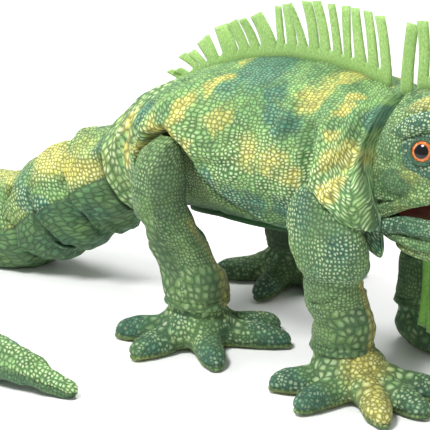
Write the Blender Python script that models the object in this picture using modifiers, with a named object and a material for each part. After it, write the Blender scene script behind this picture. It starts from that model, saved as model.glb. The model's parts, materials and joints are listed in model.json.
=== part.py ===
"""Plush iguana hand puppet with a moving mouth: sewn skins, stuffed limbs and felt combs.

Metres, +Z up, +X towards the head, +Y the animal's left.  Each body hangs on an empty at its joint.
Ring stations are (x, z, half width, half height, pitch); the origin ends at the box's bottom centre.
"""

import math

import bpy
import numpy as np
from mathutils import Vector

GAP = 0.0003
TAIL_SLACK = 0.0018

# Torso: hollow, three panels, open at the neck, the tail root and the belly
TORSO_WALL = 0.007
TORSO_STATIONS = (
    (-0.1503, 0.1005, 0.0370, 0.0370, 28),
    (-0.1320, 0.1155, 0.0410, 0.0395, 22),
    (-0.1100, 0.1255, 0.0475, 0.0450, 13),
    (-0.0800, 0.1340, 0.0530, 0.0510, 6),
    (-0.0450, 0.1405, 0.0590, 0.0565, 3),
    (-0.0100, 0.1435, 0.0600, 0.0585, 0),
    (0.0220, 0.1435, 0.0590, 0.0575, 0),
    (0.0450, 0.1440, 0.0550, 0.0535, 0),
    (0.0620, 0.1450, 0.0500, 0.0485, 0),
)
BELLY_HALF_ANGLE = 42
PANEL_STEPS = 10
BELLY_OPENING = dict(x=-0.052, half_length=0.046, half_width=0.029)
HEM_RADIUS = 0.0026

# Felt combs
FELT = 0.0018
CREST_STRIPS = 21
COMB_LEAN, COMB_WAVER = -0.004, 0.0004
CREST_BASE = 0.006
CREST_FROM, CREST_TO = -0.128, 0.061
HEAD_CREST_FOOT = ((0.083, 0.2068), (0.0998, 0.2056), (0.122, 0.2023), (0.134, 0.1985))
CREST_PROFILE = ((-0.128, 0.008), (-0.105, 0.016), (-0.060, 0.028), (-0.010, 0.036), (0.061, 0.046))

# Neck: a zone of a ball shell, so the head can turn and nod on it
NECK = Vector((0.072, 0, 0.147))
NECK_RADIUS, NECK_WALL = 0.039, 0.003
NECK_BACK, NECK_FRONT = -0.022, 0.014

# Head and jaw, measured from the jaw hinge along each lip plane
HINGE = Vector((0.086, 0, 0.129))
HEAD_PITCH, JAW_PITCH = 20, 0
FACE_WALL = 0.006
LIP_HALF_WIDTHS = (
    (0.006, 0.0415), (0.022, 0.0430), (0.040, 0.0410), (0.058, 0.0350), (0.074, 0.0265),
    (0.086, 0.0170), (0.0925, 0.0080), (0.0945, 0.0),
)
HEAD_ARCHES = (
    (0.018, 0.0475, 0.0590), (0.038, 0.0455, 0.0540), (0.056, 0.0400, 0.0440),
    (0.072, 0.0320, 0.0330), (0.085, 0.0220, 0.0230), (0.093, 0.0110, 0.0130),
)
HEAD_RIM = dict(x=0.0825, z=0.135, half_width=0.0465, height=0.0620)
JAW_TROUGHS = (
    (0.006, 0.0420, 0.0190), (0.022, 0.0440, 0.0215), (0.040, 0.0425, 0.0215),
    (0.058, 0.0365, 0.0185), (0.074, 0.0280, 0.0150), (0.086, 0.0180, 0.0110), (0.093, 0.0090, 0.0065),
)
ARCH_POWER = 2.6
FACE_EDGE = 0.0110
LIP_RADIUS = 0.0048
LINING = 0.003
EYE_RADIUS = 0.0072
JOWL_RADIUS = 0.0042
CROWN_RADIUS = 0.0056

# Legs: stations (x, y, z, half length, half thickness) of the right side; the left mirrors them
HIND_LEG = (
    (-0.076, 0.0740, 0.148, 0.0125, 0.0070),
    (-0.076, 0.0750, 0.138, 0.0200, 0.0115),
    (-0.077, 0.0750, 0.118, 0.0210, 0.0130),
    (-0.075, 0.0730, 0.100, 0.0185, 0.0140),
    (-0.071, 0.0680, 0.086, 0.0190, 0.0160),
    (-0.065, 0.0600, 0.070, 0.0210, 0.0180),
    (-0.061, 0.0540, 0.054, 0.0215, 0.0195),
    (-0.060, 0.0510, 0.042, 0.0210, 0.0200),
)
FRONT_LEG = (
    (0.055, 0.0700, 0.133, 0.0150, 0.0065),
    (0.058, 0.0715, 0.124, 0.0225, 0.0110),
    (0.062, 0.0700, 0.104, 0.0265, 0.0140),
    (0.062, 0.0650, 0.090, 0.0215, 0.0160),
    (0.061, 0.0620, 0.080, 0.0185, 0.0165),
    (0.061, 0.0570, 0.063, 0.0205, 0.0185),
    (0.062, 0.0530, 0.049, 0.0200, 0.0190),
    (0.061, 0.0510, 0.038, 0.0185, 0.0180),
)
KNEE_STATION = 4
LEG_SIDES = 14
ANKLE_BALL, ANKLE_SLACK = 0.0165, 0.0012

# Feet: toe directions in degrees from +X, for the right side
HIND_TOES = (212, 253, 323, 28, 58)
FRONT_TOES = (216, 258, 320, 342, 20)
LEFT_HIND_TOES = (-142, -80, -20, 45, 120)
TOE_LENGTH = 0.058
SOLE = 0.004

# Tail
TAIL_PATH = (
    (-0.1604, 0.0, 0.0951), (-0.187, 0.0, 0.0805), (-0.222, -0.003, 0.060), (-0.256, -0.006, 0.042),
    (-0.294, -0.014, 0.030), (-0.332, -0.036, 0.030), (-0.358, -0.072, 0.030), (-0.362, -0.112, 0.030),
    (-0.340, -0.150, 0.030), (-0.300, -0.173, 0.030), (-0.245, -0.181, 0.030), (-0.185, -0.181, 0.030),
    (-0.127, -0.178, 0.030), (-0.064, -0.172, 0.030),
)
TAIL_LIES_FROM = 0.112
TAIL_RADII = ((0.0, 0.0340), (0.060, 0.0365), (0.150, 0.0330), (0.530, 0.0145), (0.560, 0.0130), (1.0, 0.005))
TAIL_CUTS = (0.0, 0.107, 0.165, 0.225, 0.290, 0.355, 0.430, 0.510)
TAIL_BODIES = (0, 1, 3, 5, 7)
TAIL_SIDES = 16
CINCH = 0.88

COLOURS = {
    "scale_green": (0.10, 0.26, 0.07), "scale_teal": (0.03, 0.14, 0.10), "scale_yellow": (0.55, 0.50, 0.10),
    "felt_green": (0.22, 0.52, 0.10), "sole_green": (0.36, 0.52, 0.08), "mouth_red": (0.16, 0.03, 0.015),
    "iris_orange": (0.60, 0.14, 0.02), "hem_dark": (0.04, 0.10, 0.03), "tongue_red": (0.35, 0.06, 0.05),
}


# ---------------------------------------------------------------- scene helpers
def clear_scene():
    for obj in list(bpy.data.objects):
        bpy.data.objects.remove(obj, do_unlink=True)


def cloth_material(name, colour):
    made = bpy.data.materials.new(name)
    made.use_nodes = True
    shader = made.node_tree.nodes["Principled BSDF"]
    shader.inputs["Base Color"].default_value = (*colour, 1)
    shader.inputs["Roughness"].default_value = 0.85
    shader.inputs["Sheen Weight"].default_value = 0.3
    made.diffuse_color = (*colour, 1)
    return made


def body(name, pivot, parent):
    """An empty on the joint that carries its body's pieces."""
    empty = bpy.data.objects.new(name, None)
    empty.empty_display_size = 0.01
    bpy.context.scene.collection.objects.link(empty)
    empty["pivot"] = tuple(pivot)
    empty.location = Vector(pivot) - (Vector(parent["pivot"]) if parent else Vector((0, 0, 0)))
    empty.parent = parent
    return empty


def piece(name, carrier, points, faces, material, collection=None):
    """One mesh object, its points given in the design frame."""
    mesh = bpy.data.meshes.new(name)
    pivot = Vector(carrier["pivot"])
    mesh.from_pydata([Vector(p) - pivot for p in points], [], faces)
    mesh.materials.append(bpy.data.materials[material])
    obj = bpy.data.objects.new(name, mesh)
    (collection or bpy.context.scene.collection).objects.link(obj)
    obj.parent = carrier
    return obj


def cutter(name, carrier, points, faces):
    if "cutters" not in bpy.data.collections:
        bpy.context.scene.collection.children.link(bpy.data.collections.new("cutters"))
    obj = piece(name, carrier, points, faces, "hem_dark", bpy.data.collections["cutters"])
    obj.hide_render = True
    obj.display_type = "WIRE"
    return obj


def boolean(obj, other, operation):
    modifier = obj.modifiers.new(operation.lower(), "BOOLEAN")
    modifier.operation = operation
    modifier.solver = "EXACT"
    modifier.use_self = operation == "INTERSECT"
    modifier.object = other


def solidify(obj, wall, offset=-1):
    modifier = obj.modifiers.new("wall", "SOLIDIFY")
    modifier.thickness = wall
    modifier.offset = offset
    modifier.use_even_offset = True


# ---------------------------------------------------------------- rings and lofts
def ring(centre, forward, half_width, half_height, sides, start=0.0):
    """Ellipse square to forward; its points run from the top round by the animal's right."""
    forward = Vector(forward).normalized()
    across = Vector((0, 0, 1)).cross(forward).normalized()
    above = forward.cross(across)
    turns = [2 * math.pi * (i + start) / sides for i in range(sides)]
    return [
        Vector(centre) - across * (half_width * math.sin(t)) + above * (half_height * math.cos(t))
        for t in turns
    ]


def loft(rings, closed_ends=(True, True)):
    """Points and outward faces over rings that follow each other backwards along their forward direction."""
    sides = len(rings[0])
    points = [p for r in rings for p in r]
    faces = []
    for i in range(len(rings) - 1):
        for j in range(sides):
            k = (j + 1) % sides
            faces.append((i * sides + j, (i + 1) * sides + j, (i + 1) * sides + k, i * sides + k))
    for end, first in ((0, 0), (1, (len(rings) - 1) * sides)):
        if not closed_ends[end]:
            continue
        middle = len(points)
        points.append(sum((points[first + j] for j in range(sides)), Vector((0, 0, 0))) / sides)
        for j in range(sides):
            a, b = first + j, first + (j + 1) % sides
            faces.append((a, b, middle) if end == 0 else (b, a, middle))
    return points, faces


def stuffed(name, carrier, rings, material):
    points, faces = loft(rings)
    return piece(name, carrier, points, faces, material)


def dome_rings(centre, forward, radius, sides, steps=4, tallness=1.0):
    """From the tip of a ball back to its widest ring."""
    forward = Vector(forward).normalized()
    turns = [math.radians(90) * (i + 0.55) / steps for i in range(steps)]
    return [
        ring(
            Vector(centre) + forward * radius * math.cos(min(t, math.pi / 2)), forward,
            radius * math.sin(min(t, math.pi / 2)), radius * tallness * math.sin(min(t, math.pi / 2)), sides,
        )
        for t in turns
    ]


def cup_rings(centre, forward, radius, rim, sides, steps=4):
    """A hollow round a ball, from its rim in front of the pivot to its deepest point."""
    forward = Vector(forward).normalized()
    widest = math.acos(rim / radius)
    turns = [widest * (1 - i / steps) for i in range(steps)]
    return [
        ring(Vector(centre) + forward * radius * math.cos(t), forward, *[radius * math.sin(t)] * 2, sides)
        for t in turns
    ]


def ellipsoid(centre, radii, sides=12, stacks=6):
    rings = []
    for i in range(stacks):
        t = math.pi * (i + 0.5) / stacks
        rings.append(
            ring(
                Vector(centre) + Vector((radii[0] * math.cos(t), 0, 0)), (1, 0, 0), radii[1] * math.sin(t),
                radii[2] * math.sin(t), sides,
            )
        )
    return loft(rings)


def box(low, high):
    points = [(x, y, z) for x in (low[0], high[0]) for y in (low[1], high[1]) for z in (low[2], high[2])]
    return points, [(0, 1, 3, 2), (4, 6, 7, 5), (0, 4, 5, 1), (2, 3, 7, 6), (0, 2, 6, 4), (1, 5, 7, 3)]


def joined(parts):
    points, faces = [], []
    for part_points, part_faces in parts:
        faces += [tuple(i + len(points) for i in face) for face in part_faces]
        points += list(part_points)
    return points, faces


def tube(path, radius, sides=8, taper_ends=0.55):
    """Round roll along a list of points, its ends drawn in."""
    rings = []
    last = len(path) - 1
    for i, point in enumerate(path):
        ahead = Vector(path[max(i - 1, 0)]) - Vector(path[min(i + 1, last)])
        size = radius * (taper_ends if i in (0, last) else 1)
        rings.append(ring(point, ahead, size, size, sides, 0.5))
    return loft(rings)


# ---------------------------------------------------------------- torso
def torso_ring(station, inset, turns):
    x, z, half_width, half_height, pitch = station
    p = math.radians(pitch)
    above = Vector((-math.sin(p), 0, math.cos(p)))
    return [
        Vector((x, -(half_width - inset) * math.sin(t), z)) + above * (half_height - inset) * math.cos(t)
        for t in turns
    ]


def torso_panel(name, carrier, turn_low, turn_high, steps, material):
    """A padded panel between two angles round the body, its seams square to the skin."""
    turns = [math.radians(turn_low + (turn_high - turn_low) * i / steps) for i in range(steps + 1)]
    rings = [
        torso_ring(s, 0, turns) + torso_ring(s, TORSO_WALL, turns)[::-1] for s in reversed(TORSO_STATIONS)
    ]
    count = len(rings[0])
    points, faces = loft(rings, (False, False))
    back = (len(rings) - 1) * count
    for j in range(steps):
        outer, inner = (j, j + 1), (count - 1 - j, count - 2 - j)
        faces.append((outer[0], outer[1], inner[1], inner[0]))
        faces.append((back + outer[1], back + outer[0], back + inner[0], back + inner[1]))
    return piece(name, carrier, points, faces, material)


def belly_height(x, y):
    """Height of the skin under a given x and y, allowing for the tilt of the rear stations."""
    lows = []
    for sx, sz, half_width, half_height, pitch in TORSO_STATIONS:
        p = math.radians(pitch)
        drop = half_height * math.sqrt(max(0.0, 1 - (y / half_width) ** 2))
        lows.append((sx + drop * math.sin(p), sz - drop * math.cos(p)))
    return float(np.interp(x, [q[0] for q in lows], [q[1] for q in lows]))


def back_height(x):
    """Height of the spine over a given x, allowing for the tilt of the rear stations."""
    tops = []
    for sx, sz, _, half_height, pitch in TORSO_STATIONS:
        p = math.radians(pitch)
        tops.append((sx - half_height * math.sin(p), sz + half_height * math.cos(p)))
    return float(np.interp(x, [t[0] for t in tops], [t[1] for t in tops]))


def opening_path(steps, grow=0.0):
    o = BELLY_OPENING
    turns = [2 * math.pi * i / steps for i in range(steps)]
    return [
        (o["x"] + (o["half_length"] + grow) * math.cos(t), (o["half_width"] + grow) * math.sin(t))
        for t in turns
    ]


def make_torso(carrier):
    seam = math.degrees(GAP / 0.1)
    low = 180 - BELLY_HALF_ANGLE
    torso_panel("torso_panel_right", carrier, seam, low - seam, PANEL_STEPS, "scale_green")
    left_from = low + 2 * BELLY_HALF_ANGLE + seam
    torso_panel("torso_panel_left", carrier, left_from, 360 - seam, PANEL_STEPS, "scale_green")
    belly = torso_panel("belly_panel", carrier, low + seam, 360 - low - seam, 6, "scale_teal")
    outline = opening_path(20)
    rings = [[Vector((x, y, z)) for x, y in outline] for z in (0.12, 0.05)]
    boolean(belly, cutter("belly_cutter", carrier, *loft(rings)), "DIFFERENCE")
    make_hem(carrier)
    comb(
        "back_crest", carrier, CREST_FROM, CREST_TO, CREST_STRIPS,
        lambda x: back_height(x) + 3 * GAP, lambda x: float(np.interp(x, *zip(*CREST_PROFILE))),
    )


def make_hem(carrier):
    path = [
        Vector((x, y, belly_height(x, y) - HEM_RADIUS - 4 * GAP)) for x, y in opening_path(20, 0.001)
    ]
    sides = 6
    points, faces = [], []
    for i, point in enumerate(path):
        ahead = path[i - 1] - path[(i + 1) % len(path)]
        points += ring(point, ahead, HEM_RADIUS, HEM_RADIUS, sides)
    total = len(points)
    for i in range(len(path)):
        for j in range(sides):
            k = (j + 1) % sides
            a = i * sides
            faces.append((a + j, (a + sides + j) % total, (a + sides + k) % total, a + k))
    piece("opening_hem", carrier, points, faces, "hem_dark")


def comb(name, carrier, x_from, x_to, strips, base_z, tall, y=0.0):
    """Felt cut into upright strips along a base band."""
    pitch = (x_to - x_from) / strips
    points, faces, previous = [], [], None
    for i in range(strips):
        x0 = x_from + i * pitch + 0.0004
        x1 = x0 + pitch * 0.80
        lean = COMB_LEAN + COMB_WAVER * math.sin(2.1 * i)
        height = max(tall(x0), CREST_BASE + 0.002) * (1 + 0.06 * math.sin(3.7 * i))
        first = len(points)
        for x in (x0, x1):
            foot = base_z(x)
            points += [
                (x, y, foot), (x, y, foot + CREST_BASE),
                (x + lean * height / 0.03, y, foot + height),
            ]
        faces += [(first, first + 3, first + 4, first + 1), (first + 1, first + 4, first + 5, first + 2)]
        if previous is not None:
            faces.append((previous + 3, first, first + 1, previous + 4))
        previous = first
    obj = piece(name, carrier, points, faces, "felt_green")
    solidify(obj, FELT, 0)
    return obj


# ---------------------------------------------------------------- neck, head and jaw
def make_neck(carrier):
    """Inner and outer zone joined at both rims."""
    sides, steps = 24, 4
    outer, inner = [], []
    for i in range(steps + 1):
        x = NECK_FRONT + (NECK_BACK - NECK_FRONT) * i / steps
        for rings, radius in ((outer, NECK_RADIUS), (inner, NECK_RADIUS - NECK_WALL)):
            size = math.sqrt(radius**2 - x**2)
            rings.append(ring(NECK + Vector((x, 0, 0)), (1, 0, 0), size, size, sides))
    rings = outer + inner[::-1]
    count = len(rings)
    faces = []
    for i in range(count):
        for j in range(sides):
            k = (j + 1) % sides
            m = (i + 1) % count
            faces.append((i * sides + j, m * sides + j, m * sides + k, i * sides + k))
    piece("neck_skin", carrier, [p for r in rings for p in r], faces, "scale_teal")


def face_point(u, y, v, pitch):
    """A point at u along a lip plane, y across and v above it."""
    p = math.radians(pitch)
    return HINGE + Vector((u * math.cos(p) - v * math.sin(p), y, u * math.sin(p) + v * math.cos(p)))


def arch(half_width, height, steps, u, pitch, base, sign):
    """From the right edge over the top (sign 1) or under the bottom (sign -1) to the left edge."""
    found = []
    for i in range(steps + 1):
        t = math.pi * i / steps
        c, s = math.cos(t), math.sin(t)
        y = -half_width * math.copysign(abs(c) ** (2 / ARCH_POWER), c)
        v = height * abs(s) ** (2 / ARCH_POWER)
        found.append(face_point(u, y, sign * (base + v), pitch))
    return found


def face_shell(name, carrier, rings, sign, material, wall):
    count = len(rings[0])
    points = [p for r in rings for p in r]
    faces = []
    for i in range(len(rings) - 1):
        for j in range(count - 1):
            quad = (i * count + j, i * count + j + 1, (i + 1) * count + j + 1, (i + 1) * count + j)
            faces.append(quad if sign < 0 else quad[::-1])
    last = (len(rings) - 1) * count
    nose = len(points)
    beyond = (rings[-1][0] - rings[-2][0]).normalized() * 0.001
    points.append(sum(rings[-1], Vector((0, 0, 0))) / count + beyond)
    for j in range(count - 1):
        tri = (last + j, last + j + 1, nose)
        faces.append(tri if sign < 0 else tri[::-1])
    tri = (last + count - 1, last, nose)
    faces.append(tri if sign < 0 else tri[::-1])
    obj = piece(name, carrier, points, faces, material)
    solidify(obj, wall)
    return obj


def head_point(u, share, side, out=0.0):
    """Where the head's skin is at u and at a share of its height, moved out along the skin's normal."""
    us = [a[0] for a in HEAD_ARCHES]

    def skin(at, part):
        half = np.interp(at, us, [a[1] for a in HEAD_ARCHES])
        tall = np.interp(at, us, [a[2] for a in HEAD_ARCHES])
        across = half * (1 - part**ARCH_POWER) ** (1 / ARCH_POWER)
        return face_point(at, side * across, FACE_EDGE + tall * part, HEAD_PITCH)

    point = skin(u, share)
    ahead = skin(u + 0.002, share) - skin(u - 0.002, share)
    up = skin(u, share + 0.02) - skin(u, share - 0.02)
    normal = ahead.cross(up).normalized() * -side
    return point + normal * out, normal


def facing(shape, centre, normal):
    """Turns a shape built along +X so that it faces along the normal, with its Z kept upright."""
    points, faces = shape
    across = Vector((0, 0, 1)).cross(normal).normalized()
    above = normal.cross(across)
    return [centre + normal * p.x + across * p.y + above * p.z for p in points], faces


def rim_arch(steps):
    found = []
    for i in range(steps + 1):
        t = math.pi * i / steps
        c, s = math.cos(t), math.sin(t)
        y = -HEAD_RIM["half_width"] * math.copysign(abs(c) ** (2 / ARCH_POWER), c)
        z = HEAD_RIM["z"] + HEAD_RIM["height"] * abs(s) ** (2 / ARCH_POWER)
        found.append(Vector((HEAD_RIM["x"], y, z)))
    return found


def lip_path(inset, v, pitch, start=0):
    right = [(u, -w) for u, w in LIP_HALF_WIDTHS[start:]]
    left = [(u, -y) for u, y in reversed(right[:-1])]
    found = []
    for u, y in right + left:
        scale = max(0.0, (abs(y) - inset) / abs(y)) if abs(y) > 1e-6 else 0
        found.append(face_point(u - inset * (1 - min(1, abs(y) / 0.03)), y * scale, v, pitch))
    return found


def lining(name, carrier, inset, v_low, v_high, pitch, material, start=1):
    """Flat pad inside the lips."""
    top = lip_path(inset, v_high, pitch, start)
    bottom = lip_path(inset, v_low, pitch, start)
    count = len(top)
    faces = [tuple(range(count)), tuple(range(2 * count - 1, count - 1, -1))]
    for i in range(count):
        k = (i + 1) % count
        faces.append((i, i + count, k + count, k))
    return piece(name, carrier, top + bottom, faces, material)


def make_head(carrier):
    steps = 14
    rings = [rim_arch(steps)] + [arch(w, h, steps, u, HEAD_PITCH, FACE_EDGE, 1) for u, w, h in HEAD_ARCHES]
    face_shell("head_skin", carrier, rings, 1, "scale_green", FACE_WALL)
    lip_v = 0.0006 + LIP_RADIUS
    piece("upper_lip", carrier, *tube(lip_path(0.0005, lip_v, HEAD_PITCH), LIP_RADIUS), "scale_yellow")
    lining("palate", carrier, LIP_RADIUS + 0.0015, 0.003, 0.003 + LINING, HEAD_PITCH, "mouth_red")
    for side, word in ((-1, "right"), (1, "left")):
        make_face_side(carrier, side, word)
        piece("crown_roll_" + word, carrier, *tube(crown_path(side), CROWN_RADIUS), "scale_yellow")


def crown_path(side):
    """Along the top of the head from beside the comb down towards the brow."""
    found = []
    for i in range(5):
        t = math.radians(12 + 6.5 * i)
        y = (0.0462 + CROWN_RADIUS) * math.sin(t) ** (2 / ARCH_POWER)
        v = FACE_EDGE + (0.0562 + CROWN_RADIUS) * math.cos(t) ** (2 / ARCH_POWER)
        found.append(face_point(0.034 - 0.0012 * i, side * y, v, HEAD_PITCH))
    return found


def make_face_side(carrier, side, word):
    socket, normal = head_point(0.041, 0.38, side, 0.0022)
    shape = ellipsoid((0, 0, 0), (0.0015, 0.0125, 0.0110))
    piece("eye_socket_" + word, carrier, *facing(shape, socket, normal), "scale_teal")
    eye, normal = head_point(0.043, 0.40, side, 0.0040 + EYE_RADIUS * 0.55)
    shape = ellipsoid((0, 0, 0), (EYE_RADIUS * 0.55, EYE_RADIUS, EYE_RADIUS), 14, 8)
    piece("eye_" + word, carrier, *facing(shape, eye, normal), "iris_orange")
    brow = [head_point(0.020 + 0.011 * i, 0.68, side, 0.0058)[0] for i in range(5)]
    piece("brow_" + word, carrier, *tube(brow, 0.0048), "scale_teal")
    ear, normal = head_point(0.020, 0.12, side, 0.0036)
    shape = ellipsoid((0, 0, 0), (0.0026, 0.0095, 0.0080), 12, 5)
    piece("ear_patch_" + word, carrier, *facing(shape, ear, normal), "scale_green")


def make_jaw(carrier):
    rings = [arch(w, d, 10, u, JAW_PITCH, FACE_EDGE, -1) for u, w, d in JAW_TROUGHS]
    face_shell("jaw_skin", carrier, rings, -1, "scale_green", FACE_WALL - 0.001)
    lip_v = -0.0006 - LIP_RADIUS
    piece("lower_lip", carrier, *tube(lip_path(0.0005, lip_v, JAW_PITCH), LIP_RADIUS), "scale_teal")
    lining("mouth_floor", carrier, LIP_RADIUS + 0.0015, -0.006, -0.006 + LINING, JAW_PITCH, "mouth_red")
    tongue = face_point(0.050, 0, -0.0026 + 0.0016, JAW_PITCH)
    piece("tongue", carrier, *ellipsoid(tongue, (0.024, 0.012, 0.0015), 12, 5), "tongue_red")
    for side, word in ((-1, "right"), (1, "left")):
        along = (0.018, 0.030, 0.042, 0.054, 0.066, 0.076)
        roll = [jaw_point(u, 0.62, side, JOWL_RADIUS + 0.0009) for u in along]
        piece("jowl_roll_" + word, carrier, *tube(roll, JOWL_RADIUS), "scale_green")


def jaw_point(u, share, side, out):
    us = [a[0] for a in JAW_TROUGHS]
    half = np.interp(u, us, [a[1] for a in JAW_TROUGHS])
    deep = np.interp(u, us, [a[2] for a in JAW_TROUGHS])
    across = half * (1 - share**ARCH_POWER) ** (1 / ARCH_POWER)
    power = ARCH_POWER - 1
    slope = Vector(((across / half) ** power / half, share**power / deep)).normalized()
    drop = FACE_EDGE + deep * share + slope.y * out
    return face_point(u, side * (across + slope.x * out), -drop, JAW_PITCH)


def make_dewlap(carrier, pivot):
    """Felt flap with slits, hung under the jaw."""
    strips, faces, points, previous = 5, [], [], None
    for i in range(strips):
        x0 = pivot.x - 0.012 + i * 0.0056
        first = len(points)
        for x in (x0, x0 + 0.0049):
            length = 0.062 + 0.004 * math.sin(1.9 * i)
            points += [(x, 0, pivot.z), (x, 0, pivot.z - 0.016), (x - 0.006, 0, pivot.z - length)]
        faces += [(first, first + 3, first + 4, first + 1), (first + 1, first + 4, first + 5, first + 2)]
        if previous is not None:
            faces.append((previous + 3, first, first + 1, previous + 4))
        previous = first
    solidify(piece("dewlap", carrier, points, faces, "felt_green"), FELT, 0)


# ---------------------------------------------------------------- legs and feet
def level_ring(x, y, z, half_length, half_thickness, sides):
    turns = [2 * math.pi * i / sides for i in range(sides)]
    return [Vector((x + half_length * math.cos(t), y + half_thickness * math.sin(t), z)) for t in turns]


def make_leg(carrier, name, stations, side, ankle, splay):
    """Upper and lower leg, with a cup for the foot's ball; the leg drifts by splay on its way down."""
    count = len(stations)
    moved = [
        (x + splay[0] * i / count, side * (y + splay[1] * i / count), z, a, b)
        for i, (x, y, z, a, b) in enumerate(stations)
    ]
    upper = moved[: KNEE_STATION + 1]
    lower = moved[KNEE_STATION:]
    top = upper[0]
    rings = [level_ring(top[0], top[1], top[2] + 0.004, top[3] * 0.5, top[4] * 0.5, LEG_SIDES)]
    rings += [level_ring(*s, LEG_SIDES) for s in upper]
    stuffed("upper_leg_" + name, carrier, rings, "scale_green")
    knee = lower[0]
    rings = [level_ring(knee[0], knee[1], knee[2] - GAP, knee[3], knee[4], LEG_SIDES)]
    rings += [level_ring(*s, LEG_SIDES) for s in lower[1:]]
    rim = ANKLE_BALL * math.sin(math.radians(14)) + 0.0012
    cup = ANKLE_BALL + ANKLE_SLACK
    rings.append(level_ring(ankle.x, ankle.y, ankle.z + rim, cup + 0.0015, cup + 0.0015, LEG_SIDES))
    for i in range(4):
        t = math.acos(rim / cup) * (1 - i / 4)
        size = cup * math.sin(t)
        rings.append(level_ring(ankle.x, ankle.y, ankle.z + cup * math.cos(t), size, size, LEG_SIDES))
    stuffed("lower_leg_" + name, carrier, rings, "scale_green")


def toe(palm, angle, length):
    a = math.radians(angle)
    out = Vector((math.cos(a), math.sin(a), 0))
    sizes = ((0.20, 0.0080), (0.42, 0.0088), (0.62, 0.0092), (0.80, 0.0075), (0.93, 0.0045), (1.0, 0.0015))
    rings = []
    for share, size in reversed(sizes):
        centre = Vector(palm) + out * length * share
        centre.z = 0.0088 if share < 0.7 else 0.0088 - 0.003 * (share - 0.7) / 0.3
        rings.append(ring(centre, out, size, size * 1.15, 8, 0.5))
    return loft(rings)


def make_foot(carrier, name, ankle, palm, toes):
    parts = [toe(palm, angle, TOE_LENGTH) for angle in toes]
    parts.append(ellipsoid((palm.x, palm.y, 0.0085), (0.026, 0.024, 0.0165), 14, 7))
    parts.append(ellipsoid(ankle, (ANKLE_BALL, ANKLE_BALL, ANKLE_BALL), 14, 8))
    parts.append(ellipsoid((ankle.x * 0.5 + palm.x * 0.5, ankle.y * 0.5 + palm.y * 0.5, 0.018),
                           (0.0165, 0.0165, 0.0140), 12, 6))
    points, faces = joined(parts)
    for word, low, high in (("foot_", SOLE + GAP, 0.08), ("sole_", 0.0, SOLE)):
        colour = "scale_teal" if word == "foot_" else "sole_green"
        made = piece(word + name, carrier, points, faces, colour)
        reach = TOE_LENGTH + 0.02
        slab = box((palm.x - reach, palm.y - reach, low), (palm.x + reach, palm.y + reach, high))
        boolean(made, cutter(word + name + "_slab", carrier, *slab), "INTERSECT")


# ---------------------------------------------------------------- tail
def tail_line():
    """Dense points of a smooth line through the tail's path, with their distance along it."""
    p = [Vector(q) for q in TAIL_PATH]
    p = [2 * p[0] - p[1]] + p + [2 * p[-1] - p[-2]]
    dense = []
    for i in range(1, len(p) - 2):
        for k in range(12):
            t = k / 12
            a, b, c, d = p[i - 1 : i + 3]
            dense.append(
                0.5
                * (2 * b + (c - a) * t + (2 * a - 5 * b + 4 * c - d) * t**2 + (3 * b - a - 3 * c + d) * t**3)
            )
    dense.append(p[-2])
    along = [0.0]
    for a, b in zip(dense, dense[1:]):
        along.append(along[-1] + (b - a).length)
    return dense, along


class Tail:
    def __init__(self):
        self.points, self.along = tail_line()
        self.length = self.along[-1]

    def radius(self, s):
        stops = [r[0] for r in TAIL_RADII[:-1]] + [self.length]
        return float(np.interp(s, stops, [r[1] for r in TAIL_RADII]))

    def centre(self, s):
        xyz = [float(np.interp(s, self.along, [p[i] for p in self.points])) for i in range(3)]
        lying = 0.95 * self.radius(s)
        blend = min(1.0, max(0.0, (s - TAIL_LIES_FROM + 0.03) / 0.05))
        xyz[2] = xyz[2] * (1 - blend) + lying * blend
        return Vector(xyz)

    def forward(self, s):
        """Towards the body."""
        low, high = max(0.0, s - 0.004), min(self.length, s + 0.004)
        return (self.centre(low) - self.centre(high)).normalized()


def tail_piece_rings(tail, index, ball, cup):
    start = TAIL_CUTS[index]
    final = index == len(TAIL_CUTS) - 1
    end = tail.length if final else TAIL_CUTS[index + 1]
    r0 = tail.radius(start) * CINCH
    rings = dome_rings(tail.centre(start), tail.forward(start), r0, TAIL_SIDES) if ball else []
    next_ball = tail.radius(end) * CINCH
    rim = next_ball * math.sin(math.radians(22)) + 0.0012
    stop = end - (rim if cup else GAP)
    first = start if not ball else start + 0.002
    shares = (0, 0.2, 0.5, 0.8, 1) if not final else (0, 0.15, 0.4, 0.65, 0.85, 0.96, 1)
    for share in shares:
        s = first + (stop - first) * share
        waist = (1 - share) ** 6 if final else abs(2 * share - 1) ** 2.5
        grip = 1 - (1 - CINCH) * waist
        size = tail.radius(s) * grip
        if final and share > 0.9:
            size *= 0.75 if share < 1 else 0.25
        if cup and share == 1:
            size = max(size, math.sqrt((next_ball + TAIL_SLACK) ** 2 - rim**2) + 0.0018)
            ahead = tail.forward(end)
            rings.append(ring(tail.centre(end) + ahead * rim, ahead, size, size, TAIL_SIDES))
        else:
            rings.append(ring(tail.centre(s), tail.forward(s), size, size, TAIL_SIDES))
    if cup:
        rings += cup_rings(tail.centre(end), tail.forward(end), next_ball + TAIL_SLACK, rim, TAIL_SIDES)
    return rings


def on_floor(rings):
    return [[Vector((p.x, p.y, max(p.z, 0.0))) for p in r] for r in rings]


def make_tail(torso):
    tail = Tail()
    carrier = torso
    for index in range(len(TAIL_CUTS)):
        if index in TAIL_BODIES:
            letter = "abcde"[TAIL_BODIES.index(index)]
            carrier = body("tail_body_" + letter, tail.centre(TAIL_CUTS[index]), carrier)
        rings = tail_piece_rings(tail, index, index in TAIL_BODIES, index + 1 in TAIL_BODIES)
        colour = "scale_green" if index % 2 == 0 else "scale_teal"
        stuffed(f"tail_{index + 1}", carrier, on_floor(rings), colour)


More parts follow.
